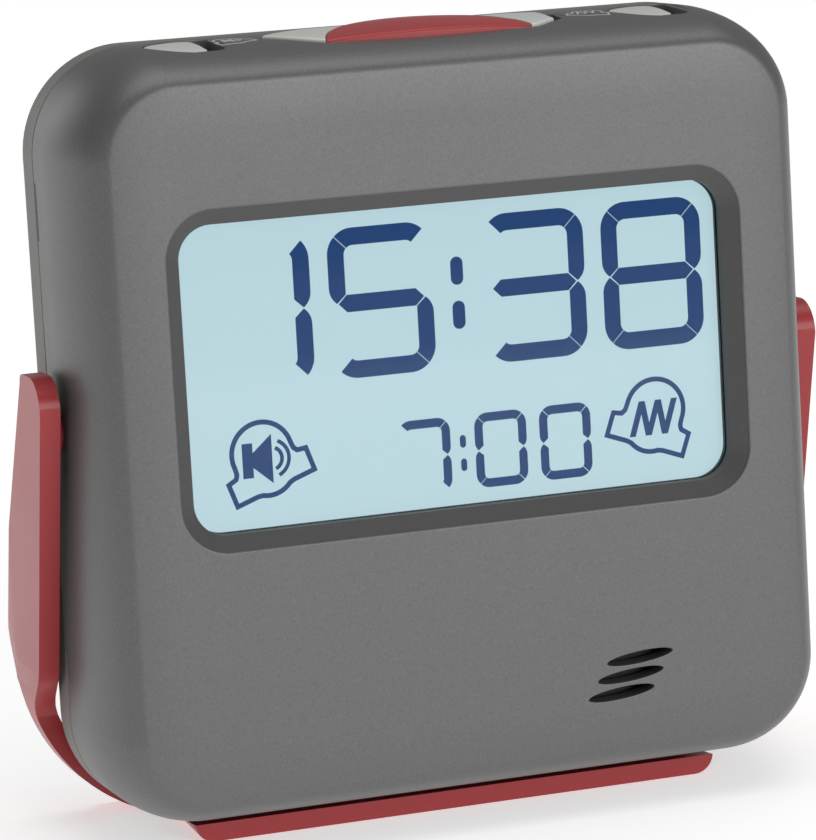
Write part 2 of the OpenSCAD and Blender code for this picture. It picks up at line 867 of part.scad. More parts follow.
// Domed from end to end, so that it is proud in the middle and nearly flush at its two tips
module snooze_cap() {
    dome_r = (cap_half * cap_half + cap_dome * cap_dome) / (2 * cap_dome);
    dome_a = 4;
    color("firebrick") leaning() difference() {
        intersection() {
            along_z(bar_low + 1.5, hh + 3) cap_outline();
            front_solid(cap_top, seam_y + over);
            translate([0, front_back, hh + cap_top]) rotate([dome_a, 0, 0])
                rod_y(0, -dome_r, dome_r, -20, 20, $fn = 400);
        }
        front_solid(-cap_seat, seam_y + 2 * over);
    }
}

module slider_knob(sx) {
    color("gainsboro") leaning() {
        intersection() {
            along_z(pocket_floor + 0.1, hh + over) translate([sx * slider_x, top_y]) intersection() {
                pocket_outline(-knob_fit);
                translate([-slider_travel, 0]) pocket_outline(-knob_fit);
                translate([-pocket_l, -pocket_w / 2]) square([pocket_l + knob_end, pocket_w]);
            }
            front_solid(-0.1, seam_y + over);
        }
        translate([sx * slider_x, top_y, 0])
            block(-stem_w, 0, -stem_t / 2, stem_t / 2, switch_top - switch_deep + air, pocket_floor + 0.3);
    }
}

module slider_left() {
    slider_knob(-1);
}

module slider_right() {
    slider_knob(1);
}

// ---------------------------------------------------------------- rear keys

module rear_key(k) {
    color("gainsboro") leaning() translate([k * key_pitch, 0, key_z]) {
        rod_y(0, 0, key_r, key_flange_y, case_d + key_proud);
        rod_y(0, 0, key_r + key_flange, key_flange_y, key_flange_y + key_flange_t);
        rod_y(0, 0, key_stem_r, key_flange_y - key_stem_l, key_flange_y + 0.1);
    }
}

module key_set() {
    rear_key(-1.5);
}

module key_alarm() {
    rear_key(-0.5);
}

module key_down() {
    rear_key(0.5);
}

module key_up() {
    rear_key(1.5);
}

front_shell();
rear_shell();
battery_door();
display_window();
lcd_frame();
lcd_panel();
backlight_panel();
zebra_strip();
main_board();
controller_chip();
quartz_crystal();
slide_switches();
tact_switches();
speaker();
speaker_gasket();
speaker_leads();
vibration_motor();
motor_boot();
motor_shaft();
eccentric_weight();
motor_leads();
battery_cells();
spring_contacts();
plate_contacts();
battery_leads();
case_screws();
board_screws();
stand();
snooze_base();
snooze_cap();
slider_left();
slider_right();
key_set();
key_alarm();
key_down();
key_up();
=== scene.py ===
import json
import math

import bmesh
import bpy
from mathutils import Matrix, Vector


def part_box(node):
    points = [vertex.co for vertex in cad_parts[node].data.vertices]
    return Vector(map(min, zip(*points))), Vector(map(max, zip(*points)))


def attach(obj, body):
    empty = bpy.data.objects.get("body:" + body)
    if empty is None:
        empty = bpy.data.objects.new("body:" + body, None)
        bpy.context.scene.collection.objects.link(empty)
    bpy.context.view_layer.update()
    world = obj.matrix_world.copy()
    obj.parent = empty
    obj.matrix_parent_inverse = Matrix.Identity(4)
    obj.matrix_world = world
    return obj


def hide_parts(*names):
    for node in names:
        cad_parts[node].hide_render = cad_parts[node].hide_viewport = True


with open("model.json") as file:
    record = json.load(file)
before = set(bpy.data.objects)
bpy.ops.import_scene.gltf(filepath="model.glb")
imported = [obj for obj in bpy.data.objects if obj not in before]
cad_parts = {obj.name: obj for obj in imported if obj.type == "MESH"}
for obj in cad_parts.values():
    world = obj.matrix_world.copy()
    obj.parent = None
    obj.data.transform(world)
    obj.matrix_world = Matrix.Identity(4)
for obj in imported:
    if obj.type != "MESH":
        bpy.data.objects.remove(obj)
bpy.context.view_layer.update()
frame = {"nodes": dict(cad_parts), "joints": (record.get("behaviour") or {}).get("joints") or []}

# ------------------------------------------------------------------ camera
# A long lens just left of the clock and a little above it, which keeps the upright edges nearly parallel.
def add_object(name, data):
    """A new object with this data, linked into the scene."""
    made = bpy.data.objects.new(name, data)
    bpy.context.scene.collection.objects.link(made)
    return made


camera = add_object("camera", bpy.data.cameras.new("camera"))
camera.data.lens = 192.86
camera.data.sensor_width = 36
camera.data.clip_end = 20
heading, downward, roll = math.radians(20.08), math.radians(14.21), math.radians(-1.13)
turned = Matrix.Rotation(-heading, 4, "Z") @ Matrix.Rotation(math.pi / 2 - downward, 4, "X")
camera.matrix_world = (
    Matrix.Translation((-0.1690, -0.4554, 0.1661)) @ turned @ Matrix.Rotation(roll, 4, "Z")
)
bpy.context.scene.camera = camera

# ------------------------------------------------------------------ front shell
# The front half of the case: one moulding in charcoal ABS under a satin metallic lacquer, with a dark
# bevel round the display, sound slots, slider pockets and the snooze opening. Sizes are millimetres in
# the case's own frame: X right, Y back from the front face, Z up from mid height.
CASE_W, CASE_H, CASE_D, CORNER_R = 85.0, 84.9, 23.6, 11.7
FRONT_IN, FRONT_BACK = 4.1, 12.1
CROWN, CROWN_IN = 0.8, 9.0
WALL, SEAM_Y = 2.0, 16.5
SEAM_EDGE = 0.18
HINGE_Y, HINGE_Z, PIN_HOLE_R = 13.2, 1.5, 1.85
RECESS_W, RECESS_H, RECESS_Z, RECESS_R = 66.2, 36.9, 6.95, 5.4
BEVEL_W, BEVEL_D = 1.7, 1.3
SLOT_X, SLOT_Z, SLOT_L, SLOT_W, SLOT_TILT, SLOT_LIP = 17.5, -30.5, 7.9, 1.302, 5.0, 0.12
SLOT_PITCH = (-1.2, -1.9)
TOP_Y = 10.4
SNOOZE_L, SNOOZE_W, SNOOZE_TAIL, SNOOZE_SHIFT, SNOOZE_END_R = 34.0, 10.8, 2.4, 0.4, 4.0
SNOOZE_FLAT, SNOOZE_POINT, SNOOZE_DEEP = 1.95, 1.48, 4.3
SLIDER_X, POCKET_L, POCKET_W, POCKET_R, POCKET_DEEP = 27.0, 8.5, 8.7, 1.7, 1.25
POCKET_LENS_L, POCKET_LENS_W, POCKET_LENS_X = 1.58, 1.08, 0.29
STEM_SLOT_X, STEM_SLOT_W, STEM_SLOT_Z = (-2.6, 2.0), 2.0, (38, 42)
NOTCH_DEEP, NOTCH_Y, NOTCH_Z = 0.7, 0.7, (22, 28.3)

joints = {j["name"]: j for j in frame["joints"]}
press = Vector(joints["snooze_press"]["axis"])
lean = math.atan2(-press.y, -press.z)
tilt = Matrix.Rotation(-lean, 4, "X")
hinge = Vector(joints["stand_hinge"]["pos_m"])
case_to_row = (
    Matrix.Translation(hinge) @ tilt @ Matrix.Scale(0.001, 4) @ Matrix.Translation((0, -HINGE_Y, -HINGE_Z))
)


def linear(r, g, b):
    """A colour given from 0 to 255 as light, with alpha."""
    steps = [c / 255 for c in (r, g, b)]
    return [c / 12.92 if c <= 0.04045 else ((c + 0.055) / 1.055) ** 2.4 for c in steps] + [1]


def plastic(name, colour, rough, metallic=0.0, grain=0.25, speckle=0.08, relief=0.006, coat=0.0):
    """Moulded plastic: a fine grain in colour and relief, and slow drifts of the gloss. Sizes in mm."""
    material = bpy.data.materials.new(name)
    material.use_nodes = True
    nodes, links = material.node_tree.nodes, material.node_tree.links
    shader = nodes["Principled BSDF"]
    shader.inputs["Metallic"].default_value = metallic
    shader.inputs["Coat Weight"].default_value = coat
    shader.inputs["Coat Roughness"].default_value = 0.18
    place = nodes.new("ShaderNodeTexCoord")
    fine = nodes.new("ShaderNodeTexNoise")
    fine.inputs["Scale"].default_value = 1000 / grain
    fine.inputs["Detail"].default_value = 3
    slow = nodes.new("ShaderNodeTexNoise")
    slow.inputs["Scale"].default_value = 60
    links.new(place.outputs["Object"], fine.inputs["Vector"])
    links.new(place.outputs["Object"], slow.inputs["Vector"])
    tone = nodes.new("ShaderNodeMapRange")
    tone.inputs["From Min"].default_value = 0.3
    tone.inputs["From Max"].default_value = 0.7
    tone.inputs["To Min"].default_value = 1 - speckle
    tone.inputs["To Max"].default_value = 1 + speckle
    links.new(fine.outputs["Fac"], tone.inputs["Value"])
    shade = nodes.new("ShaderNodeVectorMath")
    shade.operation = "SCALE"
    shade.inputs[0].default_value = linear(*colour)[:3]
    links.new(tone.outputs["Result"], shade.inputs["Scale"])
    links.new(shade.outputs["Vector"], shader.inputs["Base Color"])
    gloss = nodes.new("ShaderNodeMapRange")
    gloss.inputs["To Min"].default_value = rough - 0.04
    gloss.inputs["To Max"].default_value = rough + 0.04
    links.new(slow.outputs["Fac"], gloss.inputs["Value"])
    links.new(gloss.outputs["Result"], shader.inputs["Roughness"])
    bump = nodes.new("ShaderNodeBump")
    bump.inputs["Strength"].default_value = 0.35
    bump.inputs["Distance"].default_value = relief * 0.001
    links.new(fine.outputs["Fac"], bump.inputs["Height"])
    links.new(bump.outputs["Normal"], shader.inputs["Normal"])
    return material


def full_turn(count):
    """Angles all the way round, count of them."""
    return [math.tau * k / count for k in range(count)]


def quarter_turn(steps):
    """Angles from nothing to a right angle, both ends included."""
    return [math.pi / 2 * k / steps for k in range(steps + 1)]


def round_outline(w, h, r, steps=12):
    """Corner points of a rectangle with round corners, anticlockwise."""
    points = []
    for quarter, (sx, sz) in enumerate([(1, 1), (-1, 1), (-1, -1), (1, -1)]):
        for k in range(steps + 1):
            a = (quarter + k / steps) * math.pi / 2
            points.append((sx * (w / 2 - r) + r * math.cos(a), sz * (h / 2 - r) + r * math.sin(a)))
    return points


def lens_half(l, w, x):
    """Half width at x of a pointed oval, l long and w wide."""
    r = (l * l + w * w) / (4 * w)
    return math.sqrt(max(0, r * r - x * x)) - (r - w / 2)


def oval_outline(x0, x1, low, high, steps=36):
    """Outline between the curves low(x) and high(x), anticlockwise from x0."""
    xs = [x0 + (x1 - x0) * (1 - math.cos(math.pi * k / steps)) / 2 for k in range(steps + 1)]
    return [(x, low(x)) for x in xs] + [(x, high(x)) for x in reversed(xs)]


def grown(outline, out):
    """An outline moved outwards by about out, measured from its middle."""
    xs, ys = [p[0] for p in outline], [p[1] for p in outline]
    cx, cy = (min(xs) + max(xs)) / 2, (min(ys) + max(ys)) / 2
    fx, fy = 1 + 2 * out / (max(xs) - min(xs)), 1 + 2 * out / (max(ys) - min(ys))
    return [(cx + (x - cx) * fx, cy + (y - cy) * fy) for x, y in outline]


def at_y(outline, y):
    """The outline upright in the case, at depth y."""
    return [(u, y, v) for u, v in outline]


def loft(name, rings):
    """A closed solid through rings of equal count, in millimetres of the case frame."""
    bm = bmesh.new()
    loops = [[bm.verts.new(p) for p in ring] for ring in rings]
    for one, two in zip(loops, loops[1:]):
        for k in range(len(one)):
            n = (k + 1) % len(one)
            bm.faces.new((one[k], one[n], two[n], two[k]))
    bm.faces.new(loops[0])
    bm.faces.new(list(reversed(loops[-1])))
    bmesh.ops.remove_doubles(bm, verts=bm.verts, dist=1e-4)
    bmesh.ops.recalc_face_normals(bm, faces=bm.faces)
    mesh = bpy.data.meshes.new(name)
    bm.to_mesh(mesh)
    bm.free()
    return add_object(name, mesh)


def apply_modifiers(made):
    """The object's mesh as its modifiers leave it."""
    bpy.context.view_layer.update()
    shown = made.evaluated_get(bpy.context.evaluated_depsgraph_get())
    mesh = bpy.data.meshes.new_from_object(shown)
    made.modifiers.clear()
    old = made.data
    made.data = mesh
    bpy.data.meshes.remove(old)
    return made


def carve(made, tools, operation="DIFFERENCE"):
    """Takes the tools away from a solid, or adds them to it, and removes the tools."""
    for tool in tools:
        cut = made.modifiers.new("cut", "BOOLEAN")
        cut.operation = operation
        cut.solver = "MANIFOLD"
        cut.object = tool
        apply_modifiers(made)
        bpy.data.objects.remove(tool)
    return made


def seat(made, body, material, stands_for=(), sharp=32):
    """Puts a piece from the case frame into place, with its finish, its body and the nodes it stands for."""
    mesh = made.data
    mesh.transform(case_to_row)
    mesh.materials.clear()
    mesh.materials.append(material)
    mesh.shade_smooth()
    mesh.set_sharp_from_angle(angle=math.radians(sharp))
    weighted = made.modifiers.new("even_normals", "WEIGHTED_NORMAL")
    weighted.keep_sharp = True
    apply_modifiers(made)
    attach(made, body)
    if stands_for:
        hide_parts(*stands_for)
    return made


def crown(inset):
    """How far the front face falls back near its edge, inset from the outline: it is faintly crowned."""
    return CROWN * max(0, 1 - inset / CROWN_IN) ** 2


def front_ring(g, a):
    """The case outline, grown by g, at angle a round the front edge."""
    grow = g - (FRONT_IN + g) * (1 - math.cos(a))
    y = -g + (FRONT_BACK + g) * (1 - math.sin(a)) + crown(g - grow)
    return at_y(round_outline(CASE_W + 2 * grow, CASE_H + 2 * grow, CORNER_R + grow, 20), y)


def case_ring(grow, y):
    """The full case outline, grown, at depth y."""
    return at_y(round_outline(CASE_W + 2 * grow, CASE_H + 2 * grow, CORNER_R + grow, 20), y)


def top_skin(x, y, g=0.0):
    """Height of the case's top surface over (x, y), grown by g."""
    grow = g
    for _ in range(12):
        s = min(1, max(0, 1 - (y - crown(g - grow) + g) / (FRONT_BACK + g)))
        grow = g - (FRONT_IN + g) * (1 - math.sqrt(1 - s * s))
    r = CORNER_R + grow
    beyond = max(0, abs(x) - (CASE_W / 2 - CORNER_R))
    return CASE_H / 2 - CORNER_R + math.sqrt(max(0, r * r - beyond * beyond))


def snooze_half(x, grow=0.0):
    """Half width of the snooze opening at x: pointed on the left and rounded off on the right."""
    l, w, u = SNOOZE_L + SNOOZE_TAIL + 2 * grow, SNOOZE_W + 2 * grow, x - SNOOZE_SHIFT
    half = min(lens_half(l * SNOOZE_FLAT, w, u), lens_half(l, w * SNOOZE_POINT, u))
    past = x - (SNOOZE_L / 2 + grow - SNOOZE_END_R)
    if past > 0:
        blunt = w / 2 - SNOOZE_END_R + math.sqrt(max(0, SNOOZE_END_R ** 2 - past * past))
        half = min(half, blunt)
    return max(0, half)


def pocket_half(x, grow=0.0):
    """Half width of a slider pocket at x: pointed on the left, with two small corners on the right."""
    half = POCKET_W / 2 + grow
    u = x - POCKET_L * POCKET_LENS_X
    lens = lens_half(POCKET_L * POCKET_LENS_L + 2 * grow, POCKET_W * POCKET_LENS_W + 2 * grow, u)
    past = x - (POCKET_L / 2 + grow - POCKET_R)
    if past > 0:
        half -= POCKET_R - math.sqrt(max(0, POCKET_R * POCKET_R - past * past))
    return max(0, min(half, lens))


def centred_outline(x0, x1, half, steps=36):
    """Outline that runs half(x) either side of the line of the top controls."""
    return oval_outline(x0, x1, lambda x: TOP_Y - half(x), lambda x: TOP_Y + half(x), steps)


def top_cutter(name, outline, floor, lip=0.22):
    """A cutter into the case's top, down to floor, whose lip follows the curved surface."""
    rings = [[(x, y, floor) for x, y in outline]]
    for a in quarter_turn(4):
        wide = grown(outline, lip * (1 - math.cos(a)))
        rings.append([(x, y, top_skin(x, y) - lip * (1 - math.sin(a))) for x, y in wide])
    rings.append([(x, y, CASE_H / 2 + 2) for x, y in grown(outline, lip * 1.2)])
    return loft(name, rings)


def box_cutter(name, x, y, z):
    """A block from lowest to highest x, y and z."""
    corners = [(x[0], y[0]), (x[1], y[0]), (x[1], y[1]), (x[0], y[1])]
    return loft(name, [[(u, v, h) for u, v in corners] for h in z])


def slot_cutter(k):
    """One sound slot with a softened mouth."""
    across = Matrix.Rotation(math.radians(SLOT_TILT), 2)
    outline = [(SLOT_L / 2 * math.cos(a), SLOT_W / 2 * math.sin(a)) for a in full_turn(48)]
    place = (SLOT_X + k * SLOT_PITCH[0], SLOT_Z + k * SLOT_PITCH[1])
    soft = 0.3 * SLOT_LIP
    rings = []
    for grow, y in ((SLOT_LIP, -1), (SLOT_LIP, 0), (soft, soft), (0, SLOT_LIP), (0, WALL + 1)):
        turned = [across @ Vector(p) for p in grown(outline, grow)]
        rings.append([(place[0] + p.x, y, place[1] + p.y) for p in turned])
    return loft("slot_cutter", rings)


def display_outline(inset):
    """The display recess outline, drawn in by inset, round its own middle."""
    outline = round_outline(RECESS_W - 2 * inset, RECESS_H - 2 * inset, RECESS_R - inset, 16)
    return [(x, z + RECESS_Z) for x, z in outline]


front_steps = quarter_turn(28)
flat_insets = [CROWN_IN - k * (CROWN_IN - FRONT_IN) / 8 for k in range(8)]
shell_rings = [case_ring(-inset, crown(inset)) for inset in flat_insets]
shell_rings += [front_ring(0, a) for a in reversed(front_steps)]
shell_rings += [case_ring(0, SEAM_Y - SEAM_EDGE), case_ring(-SEAM_EDGE, SEAM_Y), case_ring(-WALL, SEAM_Y)]
shell_rings += [front_ring(-WALL, a) for a in front_steps]
front_shell = loft("front_shell_moulding", shell_rings)

lip = 0.25
display_rings = [at_y(display_outline(-lip), -1)]
for a in quarter_turn(4):
    display_rings.append(at_y(display_outline(-lip * (1 - math.sin(a))), lip * 0.7 * (1 - math.cos(a))))
display_rings += [at_y(display_outline(BEVEL_W), BEVEL_D), at_y(display_outline(BEVEL_W), WALL + 1)]
pocket_left = POCKET_L * (POCKET_LENS_X - POCKET_LENS_L / 2)
pocket = centred_outline(pocket_left, POCKET_L / 2, pocket_half)
snooze_left = SNOOZE_SHIFT - (SNOOZE_L + SNOOZE_TAIL) / 2
snooze_outline = centred_outline(snooze_left, SNOOZE_L / 2, snooze_half, 64)
tools = [loft("display_cutter", display_rings)]
tools += [slot_cutter(k) for k in (-1, 0, 1)]
tools.append(top_cutter("snooze_cutter", snooze_outline, CASE_H / 2 - SNOOZE_DEEP))
for side in (-1, 1):
    middle = side * SLIDER_X
    shifted = [(x + middle, y) for x, y in pocket]
    tools.append(top_cutter("pocket_cutter", shifted, CASE_H / 2 - POCKET_DEEP))
    stem_x = (middle + STEM_SLOT_X[0], middle + STEM_SLOT_X[1])
    stem_y = (TOP_Y - STEM_SLOT_W / 2, TOP_Y + STEM_SLOT_W / 2)
    tools.append(box_cutter("stem_cutter", stem_x, stem_y, STEM_SLOT_Z))
pin_ring = [(math.cos(a) * PIN_HOLE_R, math.sin(a) * PIN_HOLE_R) for a in full_turn(48)]
pin_rings = [[(x, HINGE_Y + u, HINGE_Z + v) for u, v in pin_ring] for x in (-CASE_W, CASE_W)]
tools.append(loft("pin_cutter", pin_rings))
notch_x = (-CASE_W / 2 - 1, -CASE_W / 2 + NOTCH_DEEP)
tools.append(box_cutter("notch_cutter", notch_x, (SEAM_Y - NOTCH_Y, SEAM_Y + 1), NOTCH_Z))
carve(front_shell, tools)

lacquer = plastic("satin_lacquer", (108, 108, 108), 0.42, metallic=0.5, grain=0.2, speckle=0.12, relief=0.006)
dark_bevel = plastic("dark_bevel", (76, 75, 75), 0.5, grain=0.4, speckle=0.04)
bevel_low = Vector((-RECESS_W / 2 - 0.01, 0.1, RECESS_Z - RECESS_H / 2 - 0.01))
bevel_high = Vector((RECESS_W / 2 + 0.01, WALL + 0.01, RECESS_Z + RECESS_H / 2 + 0.01))
bevel_faces = []
for face in front_shell.data.polygons:
    inside = all(low < c < high for low, c, high in zip(bevel_low, face.center, bevel_high))
    bevel_faces.append(inside)
seat(front_shell, "case", lacquer, stands_for=["front_shell"])
front_shell.data.materials.append(dark_bevel)
for face, inside in zip(front_shell.data.polygons, bevel_faces):
    face.material_index = int(inside)

# ------------------------------------------------------------------ rear shell
# The back half of the case: the same ABS, moulded through in a warmer, lighter grey and left with its
# fine spark-eroded texture. It holds the battery tray, the four key holes and the screw wells.
REAR_IN, REAR_FORE = 4.9, 3.6
TRAY_HX, TRAY_HZ, TRAY_Z, TRAY_FRONT = 25.2, 11.65, -13.75, 9.9
TRAY_WALL, TRAY_FLOOR, MOUTH_IN = 1.2, 0.8, 0.6
DOOR_LAP, DOOR_T, DOOR_FIT, DOOR_SOFT = 1.6, 1.0, 0.2, 0.15
KEY_R, KEY_PITCH, KEY_Z, KEY_FIT = 3.6, 14.0, 20.0, 0.2
SCREW_X, SCREW_Z, SCREW_WELL_R, SCREW_WELL_DEEP = 33.5, 33.45, 2.7, 1.4


def rear_ring(g, a):
    """The case outline, grown by g, at angle a round the rear edge."""
    return case_ring(g - (REAR_IN + g) * (1 - math.cos(a)), CASE_D + g - (REAR_FORE + g) * (1 - math.sin(a)))


def tray_outline(grow):
    """The battery tray seen from the back, grown."""
    outline = round_outline(2 * (TRAY_HX + grow), 2 * (TRAY_HZ + grow), 0.8 + max(0, grow))
    return [(x, z + TRAY_Z) for x, z in outline]


def disc(x, z, r, y, count):
    """A ring of count points round (x, z), at depth y."""
    return [(x + r * math.cos(a), y, z + r * math.sin(a)) for a in full_turn(count)]


def round_cutter(x, z, r, y0, lip=0.2):
    """A round hole from depth y0 out of the back, with a softened mouth."""
    soft = 0.3 * lip
    steps = ((0, y0), (0, CASE_D - lip), (soft, CASE_D - soft), (lip, CASE_D), (lip, CASE_D + 1))
    return loft("round_cutter", [disc(x, z, r + grow, y, 64) for grow, y in steps])


def tray_block(name, grow, y0, y1):
    """A block of the tray's outline, grown, between two depths."""
    return loft(name, [at_y(tray_outline(grow), y0), at_y(tray_outline(grow), y1)])


rear_steps = quarter_turn(20)
rear_rings = [rear_ring(-WALL, a) for a in reversed(rear_steps)]
rear_rings += [case_ring(-WALL, SEAM_Y), case_ring(-SEAM_EDGE, SEAM_Y), case_ring(0, SEAM_Y + SEAM_EDGE)]
rear_rings += [rear_ring(0, a) for a in rear_steps]
rear_shell = loft("rear_shell_moulding", rear_rings)
carve(rear_shell, [tray_block("tray", TRAY_WALL, TRAY_FRONT, CASE_D - WALL + 0.5)], "UNION")
tools = [tray_block("hollow", 0, TRAY_FRONT + TRAY_FLOOR, CASE_D - WALL - 0.01)]
tools.append(tray_block("mouth", -MOUTH_IN, CASE_D - WALL - 1, CASE_D + 1))
seat_out = DOOR_LAP + DOOR_FIT
seat_wide = seat_out + DOOR_SOFT
door_rings = [at_y(tray_outline(seat_out), CASE_D - DOOR_T), at_y(tray_outline(seat_out), CASE_D - DOOR_SOFT)]
door_rings += [at_y(tray_outline(seat_wide), CASE_D), at_y(tray_outline(seat_wide), CASE_D + 1)]
tools.append(loft("door_seat", door_rings))
for k in (-1.5, -0.5, 0.5, 1.5):
    tools.append(round_cutter(k * KEY_PITCH, KEY_Z, KEY_R + KEY_FIT, CASE_D - WALL - 1))
for sx in (-1, 1):
    for sz in (-1, 1):
        tools.append(round_cutter(sx * SCREW_X, sz * SCREW_Z, SCREW_WELL_R, CASE_D - SCREW_WELL_DEEP))
carve(rear_shell, tools)
warm_grey = plastic("warm_grey_abs", (122, 119, 115), 0.55, grain=0.3, speckle=0.05, relief=0.012)
seat(rear_shell, "case", warm_grey, stands_for=["rear_shell"])

# ------------------------------------------------------------------ battery door
# A flat ABS plate in the same grey, let in flush with the back, with a shallow plug behind it. Its grip
# is a row of moulded ribs in an oval thumb hollow, and it lifts straight off the tray.
DOOR_EDGE, PLUG_IN, HOLLOW_DEEP, HOLLOW_HZ, HOLLOW_UP = 0.25, 0.8, 0.45, 3.6, 2.5
GRIP_X, GRIP_Z, GRIP_N, GRIP_PITCH, GRIP_L, GRIP_R = 9.0, 5.0, 4, 1.5, 6.0, 0.32


def plate(name, outline_at, y0, y1, edge):
    """A flat plate whose back edge is rounded; outline_at(grow) gives its outline."""
    rings = [at_y(outline_at(0), y0), at_y(outline_at(0), y1 - edge)]
    for a in quarter_turn(4)[1:]:
        rings.append(at_y(outline_at(-edge * (1 - math.cos(a))), y1 - edge * (1 - math.sin(a))))
    return loft(name, rings)


door_in = CASE_D - DOOR_T + 0.05
door = plate("battery_door_plate", lambda g: tray_outline(DOOR_LAP + g), door_in, CASE_D, DOOR_EDGE)
carve(door, [tray_block("plug", -PLUG_IN, CASE_D - WALL + 0.1, CASE_D - DOOR_T + 0.2)], "UNION")
hollow_z = TRAY_Z + GRIP_Z + HOLLOW_UP
thumb = [(GRIP_X / 2 * math.cos(a), hollow_z + HOLLOW_HZ * math.sin(a)) for a in full_turn(64)]
thumb_rings = [at_y(grown(thumb, -0.5), CASE_D - HOLLOW_DEEP)]
thumb_rings += [at_y(thumb, CASE_D - 0.1), at_y(thumb, CASE_D + 1)]
carve(door, [loft("thumb", thumb_rings)])
seat(door, "battery_door", warm_grey, stands_for=["battery_door"])


def node_group(name, **inputs):
    """An empty Geometry Nodes tree with a mesh in, a mesh out, and named sizes with their first values."""
    tree = bpy.data.node_groups.new(name, "GeometryNodeTree")
    tree.interface.new_socket("Geometry", in_out="INPUT", socket_type="NodeSocketGeometry")
    for label, (kind, value) in inputs.items():
        socket = tree.interface.new_socket(label, in_out="INPUT", socket_type="NodeSocket" + kind)
        if kind != "Material":
            socket.default_value = value
    tree.interface.new_socket("Geometry", in_out="OUTPUT", socket_type="NodeSocketGeometry")
    return tree, tree.nodes.new("NodeGroupInput"), tree.nodes.new("NodeGroupOutput")


def grow_nodes(name, points, tree, **values):
    """Runs a tree on loose points and returns the plain mesh object that it leaves."""
    mesh = bpy.data.meshes.new(name)
    mesh.from_pydata(points, [], [])
    made = add_object(name, mesh)
    modifier = made.modifiers.new("nodes", "NODES")
    modifier.node_group = tree
    for item in tree.interface.items_tree:
        if item.in_out == "INPUT" and item.name in values:
            modifier[item.identifier] = values[item.name]
    return apply_modifiers(made)


def instance_tree(part, tree, source, sink):
    """Ends a tree: the part on each point, realized, with the tree's material."""
    place = tree.nodes.new("GeometryNodeInstanceOnPoints")
    real = tree.nodes.new("GeometryNodeRealizeInstances")
    paint = tree.nodes.new("GeometryNodeSetMaterial")
    tree.links.new(source.outputs["Geometry"], place.inputs["Points"])
    tree.links.new(part, place.inputs["Instance"])
    tree.links.new(place.outputs["Instances"], real.inputs["Geometry"])
    tree.links.new(real.outputs["Geometry"], paint.inputs["Geometry"])
    tree.links.new(source.outputs["Material"], paint.inputs["Material"])
    tree.links.new(paint.outputs["Geometry"], sink.inputs["Geometry"])


rib_tree, rib_in, rib_out = node_group(
    "grip_ribs", Length=("Float", GRIP_L), Radius=("Float", GRIP_R), Material=("Material", None),
)
bar = rib_tree.nodes.new("GeometryNodeMeshCylinder")
bar.inputs["Vertices"].default_value = 16
turn = rib_tree.nodes.new("GeometryNodeTransform")
turn.inputs["Rotation"].default_value = (0, math.pi / 2, 0)
rib_tree.links.new(rib_in.outputs["Length"], bar.inputs["Depth"])
rib_tree.links.new(rib_in.outputs["Radius"], bar.inputs["Radius"])
rib_tree.links.new(bar.outputs["Mesh"], turn.inputs["Geometry"])
instance_tree(turn.outputs["Geometry"], rib_tree, rib_in, rib_out)
rib_y = CASE_D - HOLLOW_DEEP + 0.03
rib_places = [(0, rib_y, TRAY_Z + GRIP_Z + k * GRIP_PITCH) for k in range(GRIP_N)]
ribs = grow_nodes("door_grip_ribs", rib_places, rib_tree, Length=GRIP_L, Radius=GRIP_R, Material=warm_grey)
seat(ribs, "battery_door", warm_grey)

# ------------------------------------------------------------------ case screws
# Four pan-head steel screws, zinc plated, with a cross recess, down in the wells of the rear shell. One
# head is made, and repeated at the four places.
HEAD_R, HEAD_H, HEAD_BARREL, HEAD_UP = 2.5, 1.2, 0.7, 0.45
DOME_R, DOME_H, DOME_UP = 2.1, 0.3, 0.4
CROSS_W, CROSS_L, CROSS_DEEP, CROSS_UP, CROSS_TURN = 0.6, 2.9, 1.4, 0.75, 25
screw_tree, screw_in, screw_out = node_group(
    "cross_screws", Head=("Float", HEAD_R), Height=("Float", HEAD_H), Cross=("Float", CROSS_W),
    Material=("Material", None),
)
head = screw_tree.nodes.new("GeometryNodeMeshCylinder")
head.inputs["Vertices"].default_value = 48
raised_top = screw_tree.nodes.new("GeometryNodeMeshCone")
raised_top.inputs["Vertices"].default_value = 48
raised_top.inputs["Radius Top"].default_value = DOME_R
raised_top.inputs["Depth"].default_value = DOME_H
lift = screw_tree.nodes.new("GeometryNodeTransform")
lift.inputs["Translation"].default_value = (0, 0, DOME_UP)
cut = screw_tree.nodes.new("GeometryNodeMeshBoolean")
cut.operation = "DIFFERENCE"
both = screw_tree.nodes.new("GeometryNodeMeshBoolean")
both.operation = "UNION"
screw_tree.links.new(screw_in.outputs["Head"], head.inputs["Radius"])
screw_tree.links.new(screw_in.outputs["Head"], raised_top.inputs["Radius Bottom"])
body_height = screw_tree.nodes.new("ShaderNodeMath")
body_height.operation = "MULTIPLY"
body_height.inputs[1].default_value = HEAD_BARREL
screw_tree.links.new(screw_in.outputs["Height"], body_height.inputs[0])
screw_tree.links.new(body_height.outputs["Value"], head.inputs["Depth"])
screw_tree.links.new(raised_top.outputs["Mesh"], lift.inputs["Geometry"])
screw_tree.links.new(head.outputs["Mesh"], both.inputs["Mesh 2"])
screw_tree.links.new(lift.outputs["Geometry"], both.inputs["Mesh 2"])
screw_tree.links.new(both.outputs["Mesh"], cut.inputs["Mesh 1"])
